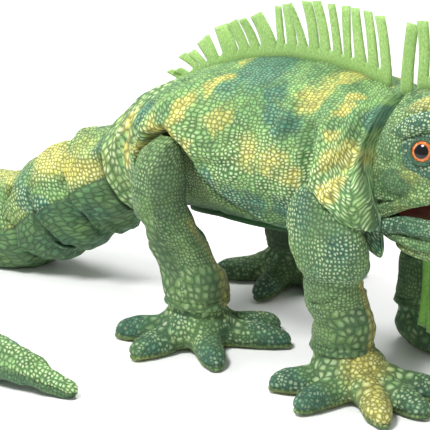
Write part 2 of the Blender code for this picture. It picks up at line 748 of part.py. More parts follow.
# ---------------------------------------------------------------- assembly
def make_legs(torso):
    rows = (
        ("hind_right", HIND_LEG, -1, HIND_TOES, Vector((-0.062, -0.048, 0)), (0.0, 0.0)),
        ("hind_left", HIND_LEG, 1, LEFT_HIND_TOES, Vector((-0.082, 0.092, 0)), (-0.014, 0.036)),
        ("front_right", FRONT_LEG, -1, FRONT_TOES, Vector((0.075, -0.050, 0)), (0.0, 0.0)),
        ("front_left", FRONT_LEG, 1, FRONT_TOES, Vector((0.075, 0.050, 0)), (0.0, 0.0)),
    )
    for name, stations, side, toes, palm, splay in rows:
        hip_at = stations[2]
        height = 0.130 if "hind" in name else 0.118
        hip = body("leg_body_" + name, (hip_at[0], side * hip_at[1], height), torso)
        ankle = Vector((stations[-1][0] + splay[0], side * (stations[-1][1] + splay[1]), 0.0305))
        make_leg(hip, name, stations, side, ankle, splay)
        foot = body("foot_body_" + name, ankle, hip)
        turned = toes if side < 0 or name == "hind_left" else [-t for t in toes]
        make_foot(foot, name, ankle, palm, turned)


def rest_on_origin(root):
    """Puts the box's bottom centre at the origin."""
    bpy.context.view_layer.update()
    graph = bpy.context.evaluated_depsgraph_get()
    corners = []
    for obj in bpy.data.objects:
        if obj.type == "MESH" and not obj.hide_render:
            found = obj.evaluated_get(graph)
            mesh = found.to_mesh()
            co = np.empty(len(mesh.vertices) * 3, np.float32)
            mesh.vertices.foreach_get("co", co)
            world = np.array(found.matrix_world)
            corners.append(co.reshape(-1, 3) @ world[:3, :3].T + world[:3, 3])
            found.to_mesh_clear()
    points = np.concatenate(corners)
    low, high = points.min(axis=0), points.max(axis=0)
    root.location -= Vector(((low[0] + high[0]) / 2, (low[1] + high[1]) / 2, low[2]))
    bpy.context.view_layer.update()


def main():
    clear_scene()
    for name, colour in COLOURS.items():
        cloth_material(name, colour)
    torso = body("torso_body", (0, 0, 0), None)
    make_torso(torso)
    neck = body("neck_body", NECK, torso)
    make_neck(neck)
    head = body("head_body", NECK, neck)
    make_head(head)
    comb(
        "head_crest", head, 0.081, 0.134, 7, lambda x: float(np.interp(x, *zip(*HEAD_CREST_FOOT))),
        lambda x: float(np.interp(x, (0.083, 0.134), (0.036, 0.022))),
    )
    jaw = body("jaw_body", HINGE, head)
    make_jaw(jaw)
    flap_pivot = Vector((0.104, 0, 0.0935))
    make_dewlap(body("dewlap_body", flap_pivot, jaw), flap_pivot)
    make_legs(torso)
    make_tail(torso)
    rest_on_origin(torso)


main()
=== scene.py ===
"""Looks of the plush iguana hand puppet: printed skins with sewn pleats, stuffed limbs, felt combs and eyes."""

import json
import math

import bpy
import numpy as np
from mathutils import Matrix, Vector


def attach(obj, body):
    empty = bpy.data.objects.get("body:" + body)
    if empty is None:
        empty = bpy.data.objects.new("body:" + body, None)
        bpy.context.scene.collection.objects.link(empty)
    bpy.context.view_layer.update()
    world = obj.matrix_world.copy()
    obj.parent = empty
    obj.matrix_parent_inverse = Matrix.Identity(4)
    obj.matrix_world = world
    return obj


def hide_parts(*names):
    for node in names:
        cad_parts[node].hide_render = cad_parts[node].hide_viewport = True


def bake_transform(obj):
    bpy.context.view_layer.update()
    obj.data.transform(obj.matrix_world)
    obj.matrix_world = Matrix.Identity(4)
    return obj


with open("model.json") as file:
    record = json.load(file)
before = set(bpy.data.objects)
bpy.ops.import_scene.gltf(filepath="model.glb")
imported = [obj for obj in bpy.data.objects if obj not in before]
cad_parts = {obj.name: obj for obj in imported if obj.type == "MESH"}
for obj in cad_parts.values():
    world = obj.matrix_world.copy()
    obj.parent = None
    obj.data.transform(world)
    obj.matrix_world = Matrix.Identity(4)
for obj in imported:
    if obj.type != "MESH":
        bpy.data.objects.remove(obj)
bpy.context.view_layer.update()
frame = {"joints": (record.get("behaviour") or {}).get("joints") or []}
JOINTS = {j["name"]: np.array(j["pos_m"]) for j in frame["joints"]}
NECK = np.array((0.072, 0.0, 0.147))
HINGE = np.array((0.086, 0.0, 0.129))
SHIFT = JOINTS["neck_turn"] - NECK  # from the design frame to the row frame
DENSE = 1.0
CALMED = 4  # passes that settle the crumples left by the cloth runs
CAP_PRINT = 0.006  # how far the print runs on to the middle of a shut end
SIDES = ((-1, "right"), (1, "left"))
TAU = 2 * math.pi


def count(n):
    return max(8, int(n * DENSE))


# ---------------------------------------------------------------- numbers
def smooth(x, low, high):
    t = np.clip((np.asarray(x, float) - low) / (high - low), 0, 1)
    return t * t * (3 - 2 * t)


def bell(x, width):
    return np.exp(-((np.asarray(x, float) / width) ** 2))


def unit(v):
    return v / np.maximum(np.linalg.norm(v, axis=-1, keepdims=True), 1e-12)


def spline(ts, knots, values):
    """Smooth line through the values at the knots, read at ts."""
    knots, values = np.asarray(knots, float), np.asarray(values, float)
    slopes = np.gradient(values, knots, axis=0)
    ts = np.clip(np.asarray(ts, float), knots[0], knots[-1])
    i = np.clip(np.searchsorted(knots, ts, side="right") - 1, 0, len(knots) - 2)
    h = knots[i + 1] - knots[i]
    u = (ts - knots[i]) / h
    shape = (-1,) + (1,) * (values.ndim - 1)
    u, h = u.reshape(shape), h.reshape(shape)
    a, b = values[i], values[i + 1]
    return (
        a * (2 * u**3 - 3 * u**2 + 1) + b * (3 * u**2 - 2 * u**3)
        + slopes[i] * h * (u**3 - 2 * u**2 + u) + slopes[i + 1] * h * (u**3 - u**2)
    )


def noise(p, size, seed=0):
    """Smooth value noise from -1 to 1 at points p, with bumps about size across."""
    q = np.asarray(p, float) / size + seed * 17.13
    cell = np.floor(q).astype(np.int64)
    f = q - cell
    f = f * f * (3 - 2 * f)

    def corner(dx, dy, dz):
        x, y, z = cell[..., 0] + dx, cell[..., 1] + dy, cell[..., 2] + dz
        h = (x * 73856093) ^ (y * 19349663) ^ (z * 83492791) ^ (seed * 2654435761)
        h &= 0xFFFFFFFF
        h = ((h ^ (h >> 13)) * 1274126177) & 0xFFFFFFFF
        h = ((h ^ (h >> 16)) * 2246822519) & 0xFFFFFFFF
        return ((h >> 8) & 0xFFFF) / 32767.5 - 1

    total = 0
    for dx in (0, 1):
        for dy in (0, 1):
            for dz in (0, 1):
                w = (f[..., 0] if dx else 1 - f[..., 0]) * (f[..., 1] if dy else 1 - f[..., 1])
                total = total + w * (f[..., 2] if dz else 1 - f[..., 2]) * corner(dx, dy, dz)
    return total


# ---------------------------------------------------------------- grids of points, rows by columns
def normals_of(p, closed=True, inside=None):
    along = np.gradient(p, axis=0)
    if closed:
        around = np.roll(p, -1, axis=1) - np.roll(p, 1, axis=1)
    else:
        around = np.gradient(p, axis=1)
    n = unit(np.cross(along, around))
    middle = p.mean(axis=1, keepdims=True) if inside is None else inside
    return n * np.where(np.median((n * (p - middle)).sum(-1)) < 0, -1, 1)


def finer(p, rows, cols, closed=True):
    """The same surface on a denser grid."""
    n, m = p.shape[:2]
    p = spline(np.linspace(0, n - 1, rows), np.arange(n), p)
    q = np.swapaxes(p, 0, 1)
    if closed:
        q = np.concatenate([q[-2:], q, q[:3]])
        at = 2 + np.arange(cols) * m / cols
        q = spline(at, np.arange(m + 5), q)
    else:
        q = spline(np.linspace(0, m - 1, cols), np.arange(m), q)
    return np.swapaxes(q, 0, 1)


def pleat(p, line, side=0, rise=0.0035, sink=0.008):
    """Height of a pleat over a side view: steep on the right of the line, long on its left.

    The line's points are x, z, height, recess and reach; the result is how far the skin stands out."""
    line = np.asarray(line, float)
    q = p[..., [0, 2]]
    dists, values, signs = [], [], []
    for a, b in zip(line[:-1], line[1:]):
        d = b[:2] - a[:2]
        t = np.clip(((q - a[:2]) @ d) / (d @ d), 0, 1)
        gap = q - (a[:2] + t[..., None] * d)
        dists.append(np.linalg.norm(gap, axis=-1))
        values.append(a[2:] + t[..., None] * (b[2:] - a[2:]))
        signs.append(np.sign(d[0] * gap[..., 1] - d[1] * gap[..., 0]))
    dists, values, signs = np.array(dists), np.array(values), np.array(signs)
    best = dists.min(axis=0)
    sign = np.take_along_axis(signs, dists.argmin(axis=0)[None], 0)[0]
    weight = np.exp(-(dists - best) / 0.009)
    blended = (values * weight[..., None]).sum(0) / weight.sum(0)[..., None]
    height, recess, reach = np.moveaxis(blended, -1, 0)
    up = height * (1 - bell(best, rise)) * bell(best, reach)
    down = -recess * (1 - bell(best, rise)) * bell(best, sink)
    found = np.where(sign > 0, up, down)
    return np.where(p[..., 1] * side >= 0, found, 0) if side else found


def crease(p, points, depth, width, side=0):
    """A soft groove with a low swell on either side, along a line in a side view."""
    q = p[..., [0, 2]]
    points = np.asarray(points, float)
    best = np.full(q.shape[:-1], 1e9)
    share = np.zeros(best.shape)
    for i, (a, b) in enumerate(zip(points[:-1], points[1:])):
        d = b - a
        t = np.clip(((q - a) @ d) / (d @ d), 0, 1)
        dist = np.linalg.norm(q - (a + t[..., None] * d), axis=-1)
        share = np.where(dist < best, (i + t) / (len(points) - 1), share)
        best = np.minimum(best, dist)
    fade = np.clip(4 * share * (1 - share) * 1.6, 0, 1) ** 0.7
    found = depth * fade * (-bell(best, width) + 0.45 * bell(best - 2.1 * width, width))
    return np.where(p[..., 1] * side >= 0, found, 0) if side else found


def blobs(p, spots, side):
    """Soft round patches, 0 to 1, on one side of the body at spots of (x, z, radius)."""
    total = np.zeros(p.shape[:-1])
    for x, z, r in spots:
        d = np.hypot(p[..., 0] - x, p[..., 2] - z)
        total = np.maximum(total, 1 - smooth(d, 0.25 * r, 1.85 * r))
    return np.where(p[..., 1] * side > 0, total, 0)


# ---------------------------------------------------------------- meshes
def build(name, verts, faces, loops_uv=None, attributes=None):
    mesh = bpy.data.meshes.new(name)
    mesh.from_pydata((np.asarray(verts) + SHIFT).tolist(), [], [tuple(f) for f in faces])
    if loops_uv is not None:
        layer = mesh.uv_layers.new(name="print")
        layer.data.foreach_set("uv", np.asarray(loops_uv, np.float32).ravel())
    rest = mesh.attributes.new("rest", "FLOAT_VECTOR", "POINT")
    rest.data.foreach_set("vector", np.asarray(verts, np.float32).ravel())
    for key, value in (attributes or {}).items():
        value = np.asarray(value, np.float32)
        kind = "FLOAT_COLOR" if value.ndim == 2 else "FLOAT"
        attribute = mesh.attributes.new(key, kind, "POINT")
        attribute.data.foreach_set("color" if value.ndim == 2 else "value", value.ravel())
    mesh.polygons.foreach_set("use_smooth", [True] * len(mesh.polygons))
    mesh.update()
    obj = bpy.data.objects.new(name, mesh)
    bpy.context.scene.collection.objects.link(obj)
    return obj


def look(p, yellow=0, teal=0, dark=0, dots=0.5):
    """How much of each patch colour, darkening and dot the print has at each point; the darkening is partly
    dark seams and tones and partly painted shade.
    """
    shape = p.shape[:-1]
    return np.stack([np.broadcast_to(np.clip(v, 0, 1), shape) for v in (yellow, teal, dark, dots)], -1)


def quads_of(n, m, closed=True):
    """Row and column of each four-cornered face of a grid, and the faces."""
    i, j = np.meshgrid(np.arange(n - 1), np.arange(m if closed else m - 1), indexing="ij")
    k = (j + 1) % m
    return i, j, np.stack([i * m + j, i * m + k, (i + 1) * m + k, (i + 1) * m + j], -1).reshape(-1, 4)


def print_uv(cloth, cols):
    """Metres of cloth round and along a grid, measured from the column opposite its seam."""
    n, m = cloth.shape[:2]
    step = np.linalg.norm((np.roll(cloth, -1, axis=1) - cloth)[:, :cols], axis=-1)
    u = np.concatenate([np.zeros((n, 1)), np.cumsum(step, axis=1)], axis=1)
    u -= u[:, m // 2 : m // 2 + 1]
    v = np.concatenate([[0], np.cumsum(np.linalg.norm(np.diff(cloth, axis=0), axis=-1).mean(axis=1))])
    return np.stack([u, np.repeat(v[:, None], cols + 1, axis=1)], -1)


def fan(uv, m, row, centre, last):
    """Triangles that shut one end of a closed grid round its middle point, and their print."""
    faces, face_uv = [], []
    for j in range(m):
        tri = [row * m + j, centre, row * m + (j + 1) % m]
        middle = uv[row, j] * 0.5 + uv[row, j + 1] * 0.5 + (0, CAP_PRINT if last else -CAP_PRINT)
        tri_uv = [uv[row, j], middle, uv[row, j + 1]]
        faces.append(np.array(tri[::-1] if last else tri))
        face_uv.append(np.array(tri_uv[::-1] if last else tri_uv))
    return faces, face_uv


def skin(name, p, material, closed=True, inside=None, paint=None, plate=0, capped=False, keep=None,
         laid=None):
    """A grid of points as one mesh, its print laid in metres of cloth, or of the smoother grid given."""
    n, m = p.shape[:2]
    i, j, quads = quads_of(n, m, closed)
    uv = print_uv(p if laid is None else laid, m if closed else m - 1)
    quad_uv = np.stack([uv[i, j], uv[i, j + 1], uv[i + 1, j + 1], uv[i + 1, j]], -2).reshape(-1, 4, 2)
    verts = p.reshape(-1, 3)
    a, b, c = (verts[quads[:, x]] for x in (0, 1, 3))
    middle = (p.mean(axis=1, keepdims=True) if inside is None else inside) + np.zeros_like(p)
    facing = (np.cross(b - a, c - a) * (a - middle.reshape(-1, 3)[quads[:, 0]])).sum(-1)
    if keep is not None:
        wanted = keep(verts[quads].mean(axis=1))
        quads, quad_uv = quads[wanted], quad_uv[wanted]
    faces, face_uv = list(quads), list(quad_uv)
    painted = look(p) if paint is None else paint
    looks, plates = painted.reshape(-1, 4), (np.zeros(p.shape[:-1]) + plate).ravel()
    if capped:
        ends = [0, n - 1]
        for end, row in enumerate(ends):
            more, more_uv = fan(uv, m, row, len(verts) + end, end == 1)
            faces, face_uv = faces + more, face_uv + more_uv
        verts = np.concatenate([verts, p[ends].mean(axis=1)])
        looks = np.concatenate([looks, painted[ends].mean(axis=1)])
        plates = np.concatenate([plates, (0, 0)])
    if np.median(facing) < 0:
        faces, face_uv = [f[::-1] for f in faces], [w[::-1] for w in face_uv]
    obj = build(name, verts, faces, np.concatenate(face_uv), {"look": looks, "plate": plates})
    obj.data.materials.append(material)
    return obj


def inflate(p, pinned, pressure, grow, cap, frames=14):
    """Lets cloth cut a little too large fill out between its pinned seams, and gives back where it went."""
    n, m = p.shape[:2]
    quads = quads_of(n, m)[2]
    verts = p.reshape(-1, 3)
    nrm = normals_of(p).reshape(-1, 3)
    a, b, c = (verts[quads[:, x]] for x in (0, 1, 3))
    if (np.cross(b - a, c - a) * nrm[quads[:, 0]]).sum() < 0:
        quads = quads[:, ::-1]
    mesh = bpy.data.meshes.new("cloth_work")
    mesh.from_pydata(verts.tolist(), [], quads.tolist())
    obj = bpy.data.objects.new("cloth_work", mesh)
    bpy.context.scene.collection.objects.link(obj)
    group = obj.vertex_groups.new(name="pin")
    weights = np.broadcast_to(pinned, (n, m)).ravel()
    for w in np.unique(np.round(weights, 2)):
        if w > 0:
            group.add(np.nonzero(np.abs(weights - w) < 0.006)[0].tolist(), float(w), "REPLACE")
    cloth = obj.modifiers.new("cloth", "CLOTH")
    fabric = dict(
        quality=5, mass=0.15, tension_stiffness=12, compression_stiffness=12, shear_stiffness=6,
        bending_stiffness=0.35, air_damping=2, vertex_group_mass="pin", pin_stiffness=1,
        shrink_min=-grow, shrink_max=-grow, use_pressure=True, uniform_pressure_force=pressure,
    )
    for key, value in fabric.items():
        setattr(cloth.settings, key, value)
    cloth.settings.effector_weights.gravity = 0
    cloth.collision_settings.use_collision = False
    cloth.collision_settings.use_self_collision = False
    cloth.point_cache.frame_start, cloth.point_cache.frame_end = 1, frames
    scene = bpy.context.scene
    for f in range(1, frames + 1):
        scene.frame_set(f)
    found = obj.evaluated_get(bpy.context.evaluated_depsgraph_get()).to_mesh()
    co = np.empty(len(verts) * 3)
    found.vertices.foreach_get("co", co)
    bpy.data.objects.remove(obj)
    bpy.data.meshes.remove(mesh)
    scene.frame_set(1)
    moved = co.reshape(n, m, 3) - p
    if not np.isfinite(moved).all():
        return p
    for _ in range(CALMED):
        beside = np.roll(moved, 1, axis=1) + np.roll(moved, -1, axis=1)
        ends = np.concatenate([moved[:1], moved, moved[-1:]])
        moved = 0.4 * moved + 0.15 * (beside + ends[:-2] + ends[2:])
    size = np.linalg.norm(moved, axis=-1, keepdims=True)
    return p + moved * (np.minimum(size, cap) / np.maximum(size, 1e-9))


# ---------------------------------------------------------------- materials
GREEN, LEAF = (0.110, 0.255, 0.085, 1), (0.210, 0.390, 0.115, 1)
TEAL, YELLOW = (0.028, 0.150, 0.110, 1), (0.620, 0.540, 0.110, 1)
DEEP, PALE = (0.006, 0.026, 0.016, 1), (0.760, 0.850, 0.520, 1)


class Shader:
    """A material and short words for its nodes."""

    def __init__(self, name, roughness=0.8, sheen=0.0, specular=0.3, coat=0.0):
        self.material = bpy.data.materials.new(name)
        self.material.use_nodes = True
        self.tree = self.material.node_tree
        self.bsdf = self.tree.nodes["Principled BSDF"]
        finish = {
            "Roughness": roughness, "Specular IOR Level": specular, "Coat Weight": coat,
            "Sheen Weight": sheen, "Sheen Roughness": 0.45, "Sheen Tint": (0.85, 1.0, 0.75, 1),
        }
        for key, value in finish.items():
            self.bsdf.inputs[key].default_value = value

    def node(self, kind, **settings):
        made = self.tree.nodes.new("ShaderNode" + kind)
        for key, value in settings.items():
            setattr(made, key, value)
        return made

    def put(self, socket, value):
        if hasattr(value, "is_output"):
            self.tree.links.new(value, socket)
        else:
            socket.default_value = value

    def math(self, operation, a, b=0.0, clamp=False):
        made = self.node("Math", operation=operation, use_clamp=clamp)
        self.put(made.inputs[0], a)
        self.put(made.inputs[1], b)
        return made.outputs[0]

    def range(self, value, low, high, to_low=0.0, to_high=1.0):
        made = self.node("MapRange", interpolation_type="SMOOTHSTEP")
        for i, v in enumerate((value, low, high, to_low, to_high)):
            self.put(made.inputs[i], v)
        return made.outputs[0]

    def mix(self, share, a, b, mode="MIX"):
        made = self.node("Mix", data_type="RGBA", blend_type=mode)
        self.put(made.inputs[0], share)
        self.put(made.inputs[6], a)
        self.put(made.inputs[7], b)
        return made.outputs[2]

    def blend(self, share, a, b):
        made = self.node("Mix", data_type="FLOAT")
        self.put(made.inputs[0], share)
        self.put(made.inputs[2], a)
        self.put(made.inputs[3], b)
        return made.outputs[0]

    def attribute(self, name):
        return self.node("Attribute", attribute_name=name)

    def scaled(self, vector, factor):
        made = self.node("VectorMath", operation="MULTIPLY")
        self.put(made.inputs[0], vector)
        made.inputs[1].default_value = factor
        return made.outputs[0]

    def noise(self, vector, size, detail=2.0, roughness=0.5):
        made = self.node("TexNoise")
        self.put(made.inputs["Vector"], vector)
        made.inputs["Scale"].default_value = 1 / size
        made.inputs["Detail"].default_value = detail
        made.inputs["Roughness"].default_value = roughness
        return made.outputs["Fac"]

    def cells(self, vector, size, flat, randomness, feature="F1"):
        made = self.node("TexVoronoi", feature=feature, voronoi_dimensions="2D" if flat else "3D")
        self.put(made.inputs["Vector"], vector)
        made.inputs["Scale"].default_value = 1 / size
        made.inputs["Randomness"].default_value = randomness
        return made

    def bump(self, height, strength, distance):
        made = self.node("Bump")
        made.inputs["Strength"].default_value = strength
        made.inputs["Distance"].default_value = distance
        self.put(made.inputs["Height"], height)
        self.put(self.bsdf.inputs["Normal"], made.outputs[0])

    def colour(self, value):
        self.put(self.bsdf.inputs["Base Color"], value)
        return self.material


def scale_print(name, cell=0.0024, plate_cell=0.0060, flat=True, stretch=(1.0, 1.0, 1.0), tone=1.0,
                plate_stretch=(1.0, 1.0, 1.0)):
    """Short plush printed with rows of scales: dark gaps, a pale dot on each, and patches from the mesh, whose
    dark share also carries painted shade.
    """
    s = Shader(name, roughness=0.80, sheen=0.08, specular=0.25)
    rest = s.attribute("rest").outputs["Vector"]
    painted = s.attribute("look")
    parts = s.node("SeparateColor")
    s.put(parts.inputs[0], painted.outputs["Color"])
    yellow, teal, dark = parts.outputs
    dots = painted.outputs["Alpha"]
    plate = s.attribute("plate").outputs["Fac"]
    place = s.node("UVMap", uv_map="print").outputs["UV"] if flat else rest
    warp = s.node("TexNoise")
    s.put(warp.inputs["Vector"], rest)
    warp.inputs["Scale"].default_value = 55
    warp.inputs["Detail"].default_value = 1
    shift = s.node("VectorMath", operation="SCALE")
    s.put(shift.inputs[0], warp.outputs["Color"])
    shift.inputs["Scale"].default_value = 0.0045
    moved = s.node("VectorMath", operation="ADD")
    s.put(moved.inputs[0], place)
    s.put(moved.inputs[1], shift.outputs[0])
    vector = s.scaled(moved.outputs[0], stretch)

    def pattern(size, randomness, vector):
        near = s.cells(vector, size, flat, randomness)
        edge = s.cells(vector, size, flat, randomness, "DISTANCE_TO_EDGE")
        return near.outputs["Distance"], near.outputs["Color"], edge.outputs["Distance"]

    def patchy(amount, clouds, share, low, high):
        broken = s.math("MULTIPLY", s.math("SUBTRACT", clouds, 0.5), share)
        return s.range(s.math("ADD", amount, broken), low, high)

    near, random, edge = pattern(cell, 0.62, vector)
    big_near, big_random, big_edge = pattern(plate_cell, 0.70, s.scaled(vector, plate_stretch))
    plate = s.math("ADD", plate, s.math("MULTIPLY", s.noise(rest, 0.012), 0.5))
    plate_on = s.math("GREATER_THAN", plate, 0.75)
    near = s.blend(plate_on, near, big_near)
    edge = s.blend(plate_on, edge, big_edge)
    random = s.mix(plate_on, random, big_random)
    cells = s.node("SeparateColor")
    s.put(cells.inputs[0], random)
    soft, patches = s.noise(rest, 0.019, 3), s.noise(rest, 0.030, 3)
    nap = s.noise(rest, 0.00075, 3, 0.7)
    green = s.mix(s.range(soft, 0.36, 0.66), GREEN, LEAF)
    green = s.mix(s.math("MULTIPLY", patchy(yellow, patches, 0.9, 0.22, 1.05), 0.86), green, YELLOW)
    green = s.mix(s.math("MULTIPLY", patchy(teal, soft, 0.8, 0.18, 0.95), 0.88), green, TEAL)
    shade = s.range(cells.outputs[0], 0.0, 1.0, 0.62 * tone, 1.18 * tone)
    grey = s.node("CombineColor")
    for socket in grey.inputs[:3]:
        s.put(socket, shade)
    body = s.mix(1.0, green, grey.outputs[0], "MULTIPLY")
    strength = s.math("MULTIPLY", dots, s.range(s.noise(rest, 0.022, 2), 0.36, 0.60, 0.30, 1.0), True)
    dot = s.range(near, 0.14, 0.38 if flat else 0.56, 1.0, 0.0)
    dot = s.math("MULTIPLY", dot, s.math("MULTIPLY", strength, 0.92))
    body = s.mix(dot, body, s.mix(0.34, PALE, green))
    rim = s.range(edge, 0.02, 0.24, 1.0, 0.0)
    body = s.mix(s.math("MULTIPLY", rim, s.blend(plate_on, 0.84, 0.86)), body, s.mix(0.20, DEEP, green))
    # The mesh's dark share darkens towards DEEP: partly dark seams and tones, partly painted shade in recesses,
    # on undersides and on the far hind leg and foot.
    body = s.mix(s.math("MULTIPLY", dark, 0.85), body, DEEP)
    body = s.mix(s.range(nap, 0.30, 0.75, 0.0, 0.14), body, s.mix(0.5, PALE, green))
    height = s.math("ADD", s.math("MULTIPLY", s.range(edge, 0.0, 0.30), 0.8), s.math("MULTIPLY", nap, 0.9))
    s.bump(height, 0.50, 0.00045)
    return s.colour(body)


def felt(name, low=(0.190, 0.370, 0.095, 1), high=(0.420, 0.590, 0.220, 1)):
    s = Shader(name, roughness=0.95, sheen=0.35, specular=0.12)
    rest = s.attribute("rest").outputs["Vector"]
    fibres = s.noise(s.scaled(rest, (1, 1, 0.55)), 0.0011, 5, 0.75)
    clouds = s.noise(rest, 0.016, 3)
    body = s.mix(s.range(fibres, 0.32, 0.70), low, high)
    body = s.mix(s.range(clouds, 0.35, 0.75, 0.0, 0.35), body, low)
    s.bump(s.math("ADD", fibres, s.math("MULTIPLY", s.noise(rest, 0.0004, 2), 0.6)), 0.6, 0.0005)
    return s.colour(body)


def velour(name, low, high):
    s = Shader(name, roughness=0.9, sheen=0.25, specular=0.15)
    rest = s.attribute("rest").outputs["Vector"]
    fibres = s.noise(rest, 0.0009, 4, 0.7)
    body = s.mix(s.range(fibres, 0.3, 0.7), low, high)
    body = s.mix(s.range(s.noise(rest, 0.012, 2), 0.4, 0.75, 0.0, 0.5), body, low)
    s.bump(fibres, 0.5, 0.0005)
    return s.colour(body)


def stitched(name, colour):
    """Bound edge tape: a fine twill."""
    s = Shader(name, roughness=0.85, sheen=0.2, specular=0.2)
    uv = s.node("UVMap", uv_map="print").outputs["UV"]
    wave = s.node("TexWave", wave_type="BANDS", bands_direction="DIAGONAL")
    s.put(wave.inputs["Vector"], uv)
    wave.inputs["Scale"].default_value = 380
    rest = s.attribute("rest").outputs["Vector"]
    body = s.mix(wave.outputs["Fac"], colour, tuple(min(1, c * 1.9) for c in colour[:3]) + (1,))
    body = s.mix(s.range(s.noise(rest, 0.004, 3), 0.3, 0.7, 0.0, 0.5), body, colour)
    s.bump(wave.outputs["Fac"], 0.5, 0.0003)
    return s.colour(body)


def glass_eye(name):
    s = Shader(name, roughness=0.12, specular=0.25, coat=0.45)
    s.bsdf.inputs["Coat Roughness"].default_value = 0.02
    ring = s.attribute("ring").outputs["Fac"]
    turn = s.attribute("turn").outputs["Fac"]
    streaks = s.node("TexNoise", noise_dimensions="2D")
    pair = s.node("CombineXYZ")
    s.put(pair.inputs[0], s.math("MULTIPLY", turn, 9.0))
    s.put(pair.inputs[1], s.math("MULTIPLY", ring, 1.4))
    s.put(streaks.inputs["Vector"], pair.outputs[0])
    streaks.inputs["Scale"].default_value = 3.2
    streaks.inputs["Detail"].default_value = 4
    iris = s.mix(s.range(streaks.outputs["Fac"], 0.3, 0.7), (0.42, 0.075, 0.012, 1), (0.72, 0.24, 0.06, 1))
    iris = s.mix(s.range(ring, 0.84, 0.97), iris, (0.030, 0.010, 0.006, 1))
    iris = s.mix(s.range(ring, 0.60, 0.68, 1.0, 0.0), iris, (0.003, 0.003, 0.003, 1))
    return s.colour(iris)


SKIN = scale_print("skin_print", stretch=(1.0, 0.82, 1.0))
TAIL_SKIN = scale_print("tail_print", 0.0028, 0.0048, stretch=(0.80, 1.0, 1.0),
                        plate_stretch=(1.35, 0.62, 1.0))
LEG = scale_print("leg_print", 0.0026, 0.0056, stretch=(1.0, 0.85, 1.0), tone=0.70)
FOOT = scale_print("foot_print", 0.0030, 0.0062, flat=False, tone=0.80)
FACE = scale_print("face_print", 0.0021, 0.0050, flat=False, tone=0.90)
FELT = felt("comb_felt")
THROAT_FELT = felt("dewlap_felt", (0.120, 0.330, 0.050, 1), (0.290, 0.560, 0.120, 1))
LINING = velour("mouth_lining", (0.210, 0.028, 0.016, 1), (0.400, 0.070, 0.040, 1))
TONGUE = velour("tongue_velour", (0.22, 0.035, 0.030, 1), (0.42, 0.090, 0.070, 1))
POCKET = velour("hand_pocket", (0.020, 0.060, 0.030, 1), (0.050, 0.110, 0.055, 1))
HEM = stitched("opening_tape", (0.020, 0.060, 0.022, 1))
EYE = glass_eye("eye_glass")


def place(obj, body, slot, *nodes, fill=None):
    """Settles a piece: parents it to the body it rides on, or for a pair of bodies bakes where it stands into
    its mesh, and hides the CAD nodes it stands for; its finish slot is not used.
    """
    if isinstance(body, str):
        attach(obj, body)
    else:
        a, b, start, end = body
        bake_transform(obj)
    if nodes:
        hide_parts(*nodes)
    return obj


# ---------------------------------------------------------------- torso
# Rings from the rump to the neck: x, z, half width, half height, pitch in degrees
TORSO = (
    (-0.1530, 0.0985, 0.0335, 0.0330, 30), (-0.1503, 0.1005, 0.0385, 0.0380, 28),
    (-0.1320, 0.1155, 0.0410, 0.0395, 22), (-0.1100, 0.1255, 0.0475, 0.0450, 13),
    (-0.0800, 0.1340, 0.0530, 0.0510, 6), (-0.0450, 0.1405, 0.0590, 0.0565, 3),
    (-0.0100, 0.1435, 0.0600, 0.0585, 0), (0.0220, 0.1435, 0.0590, 0.0575, 0),
    (0.0450, 0.1440, 0.0550, 0.0535, 0), (0.0620, 0.1450, 0.0495, 0.0485, 0),
    (0.0690, 0.1450, 0.0455, 0.0460, 0), (0.0735, 0.1450, 0.0370, 0.0390, 0),
)
# Pleats: x, z, height, recess, reach
SHOULDER_PLEAT = (
    (0.032, 0.1990, 0.0000, 0.000, 0.020), (0.035, 0.1880, 0.0040, 0.004, 0.020),
    (0.038, 0.1760, 0.0070, 0.007, 0.022), (0.041, 0.1620, 0.0105, 0.009, 0.026),
    (0.042, 0.1500, 0.0150, 0.009, 0.030), (0.045, 0.1400, 0.0230, 0.007, 0.032),
    (0.053, 0.1345, 0.0300, 0.006, 0.034), (0.067, 0.1265, 0.0320, 0.006, 0.036),
    (0.077, 0.1200, 0.0280, 0.006, 0.036), (0.087, 0.1140, 0.0200, 0.005, 0.034),
    (0.094, 0.1070, 0.0100, 0.003, 0.030), (0.096, 0.0990, 0.0030, 0.000, 0.026),
)
HIP_PLEAT = (
    (-0.096, 0.106, 0.016, 0.002, 0.026), (-0.089, 0.122, 0.025, 0.003, 0.028),
    (-0.084, 0.138, 0.031, 0.004, 0.030), (-0.075, 0.151, 0.033, 0.004, 0.030),
    (-0.063, 0.156, 0.029, 0.005, 0.030), (-0.054, 0.148, 0.020, 0.009, 0.032),
    (-0.046, 0.132, 0.011, 0.012, 0.036), (-0.037, 0.119, 0.009, 0.013, 0.040),
    (-0.024, 0.108, 0.008, 0.011, 0.040), (-0.008, 0.100, 0.005, 0.006, 0.035),
    (0.008, 0.094, 0.000, 0.000, 0.030),
)
FLANK_TUCK = (
    (0.018, 0.1640, 0.0000, 0.000, 0.010), (0.024, 0.1550, 0.0025, 0.002, 0.010),
    (0.031, 0.1465, 0.0035, 0.003, 0.010), (0.038, 0.1390, 0.0000, 0.000, 0.010),
)
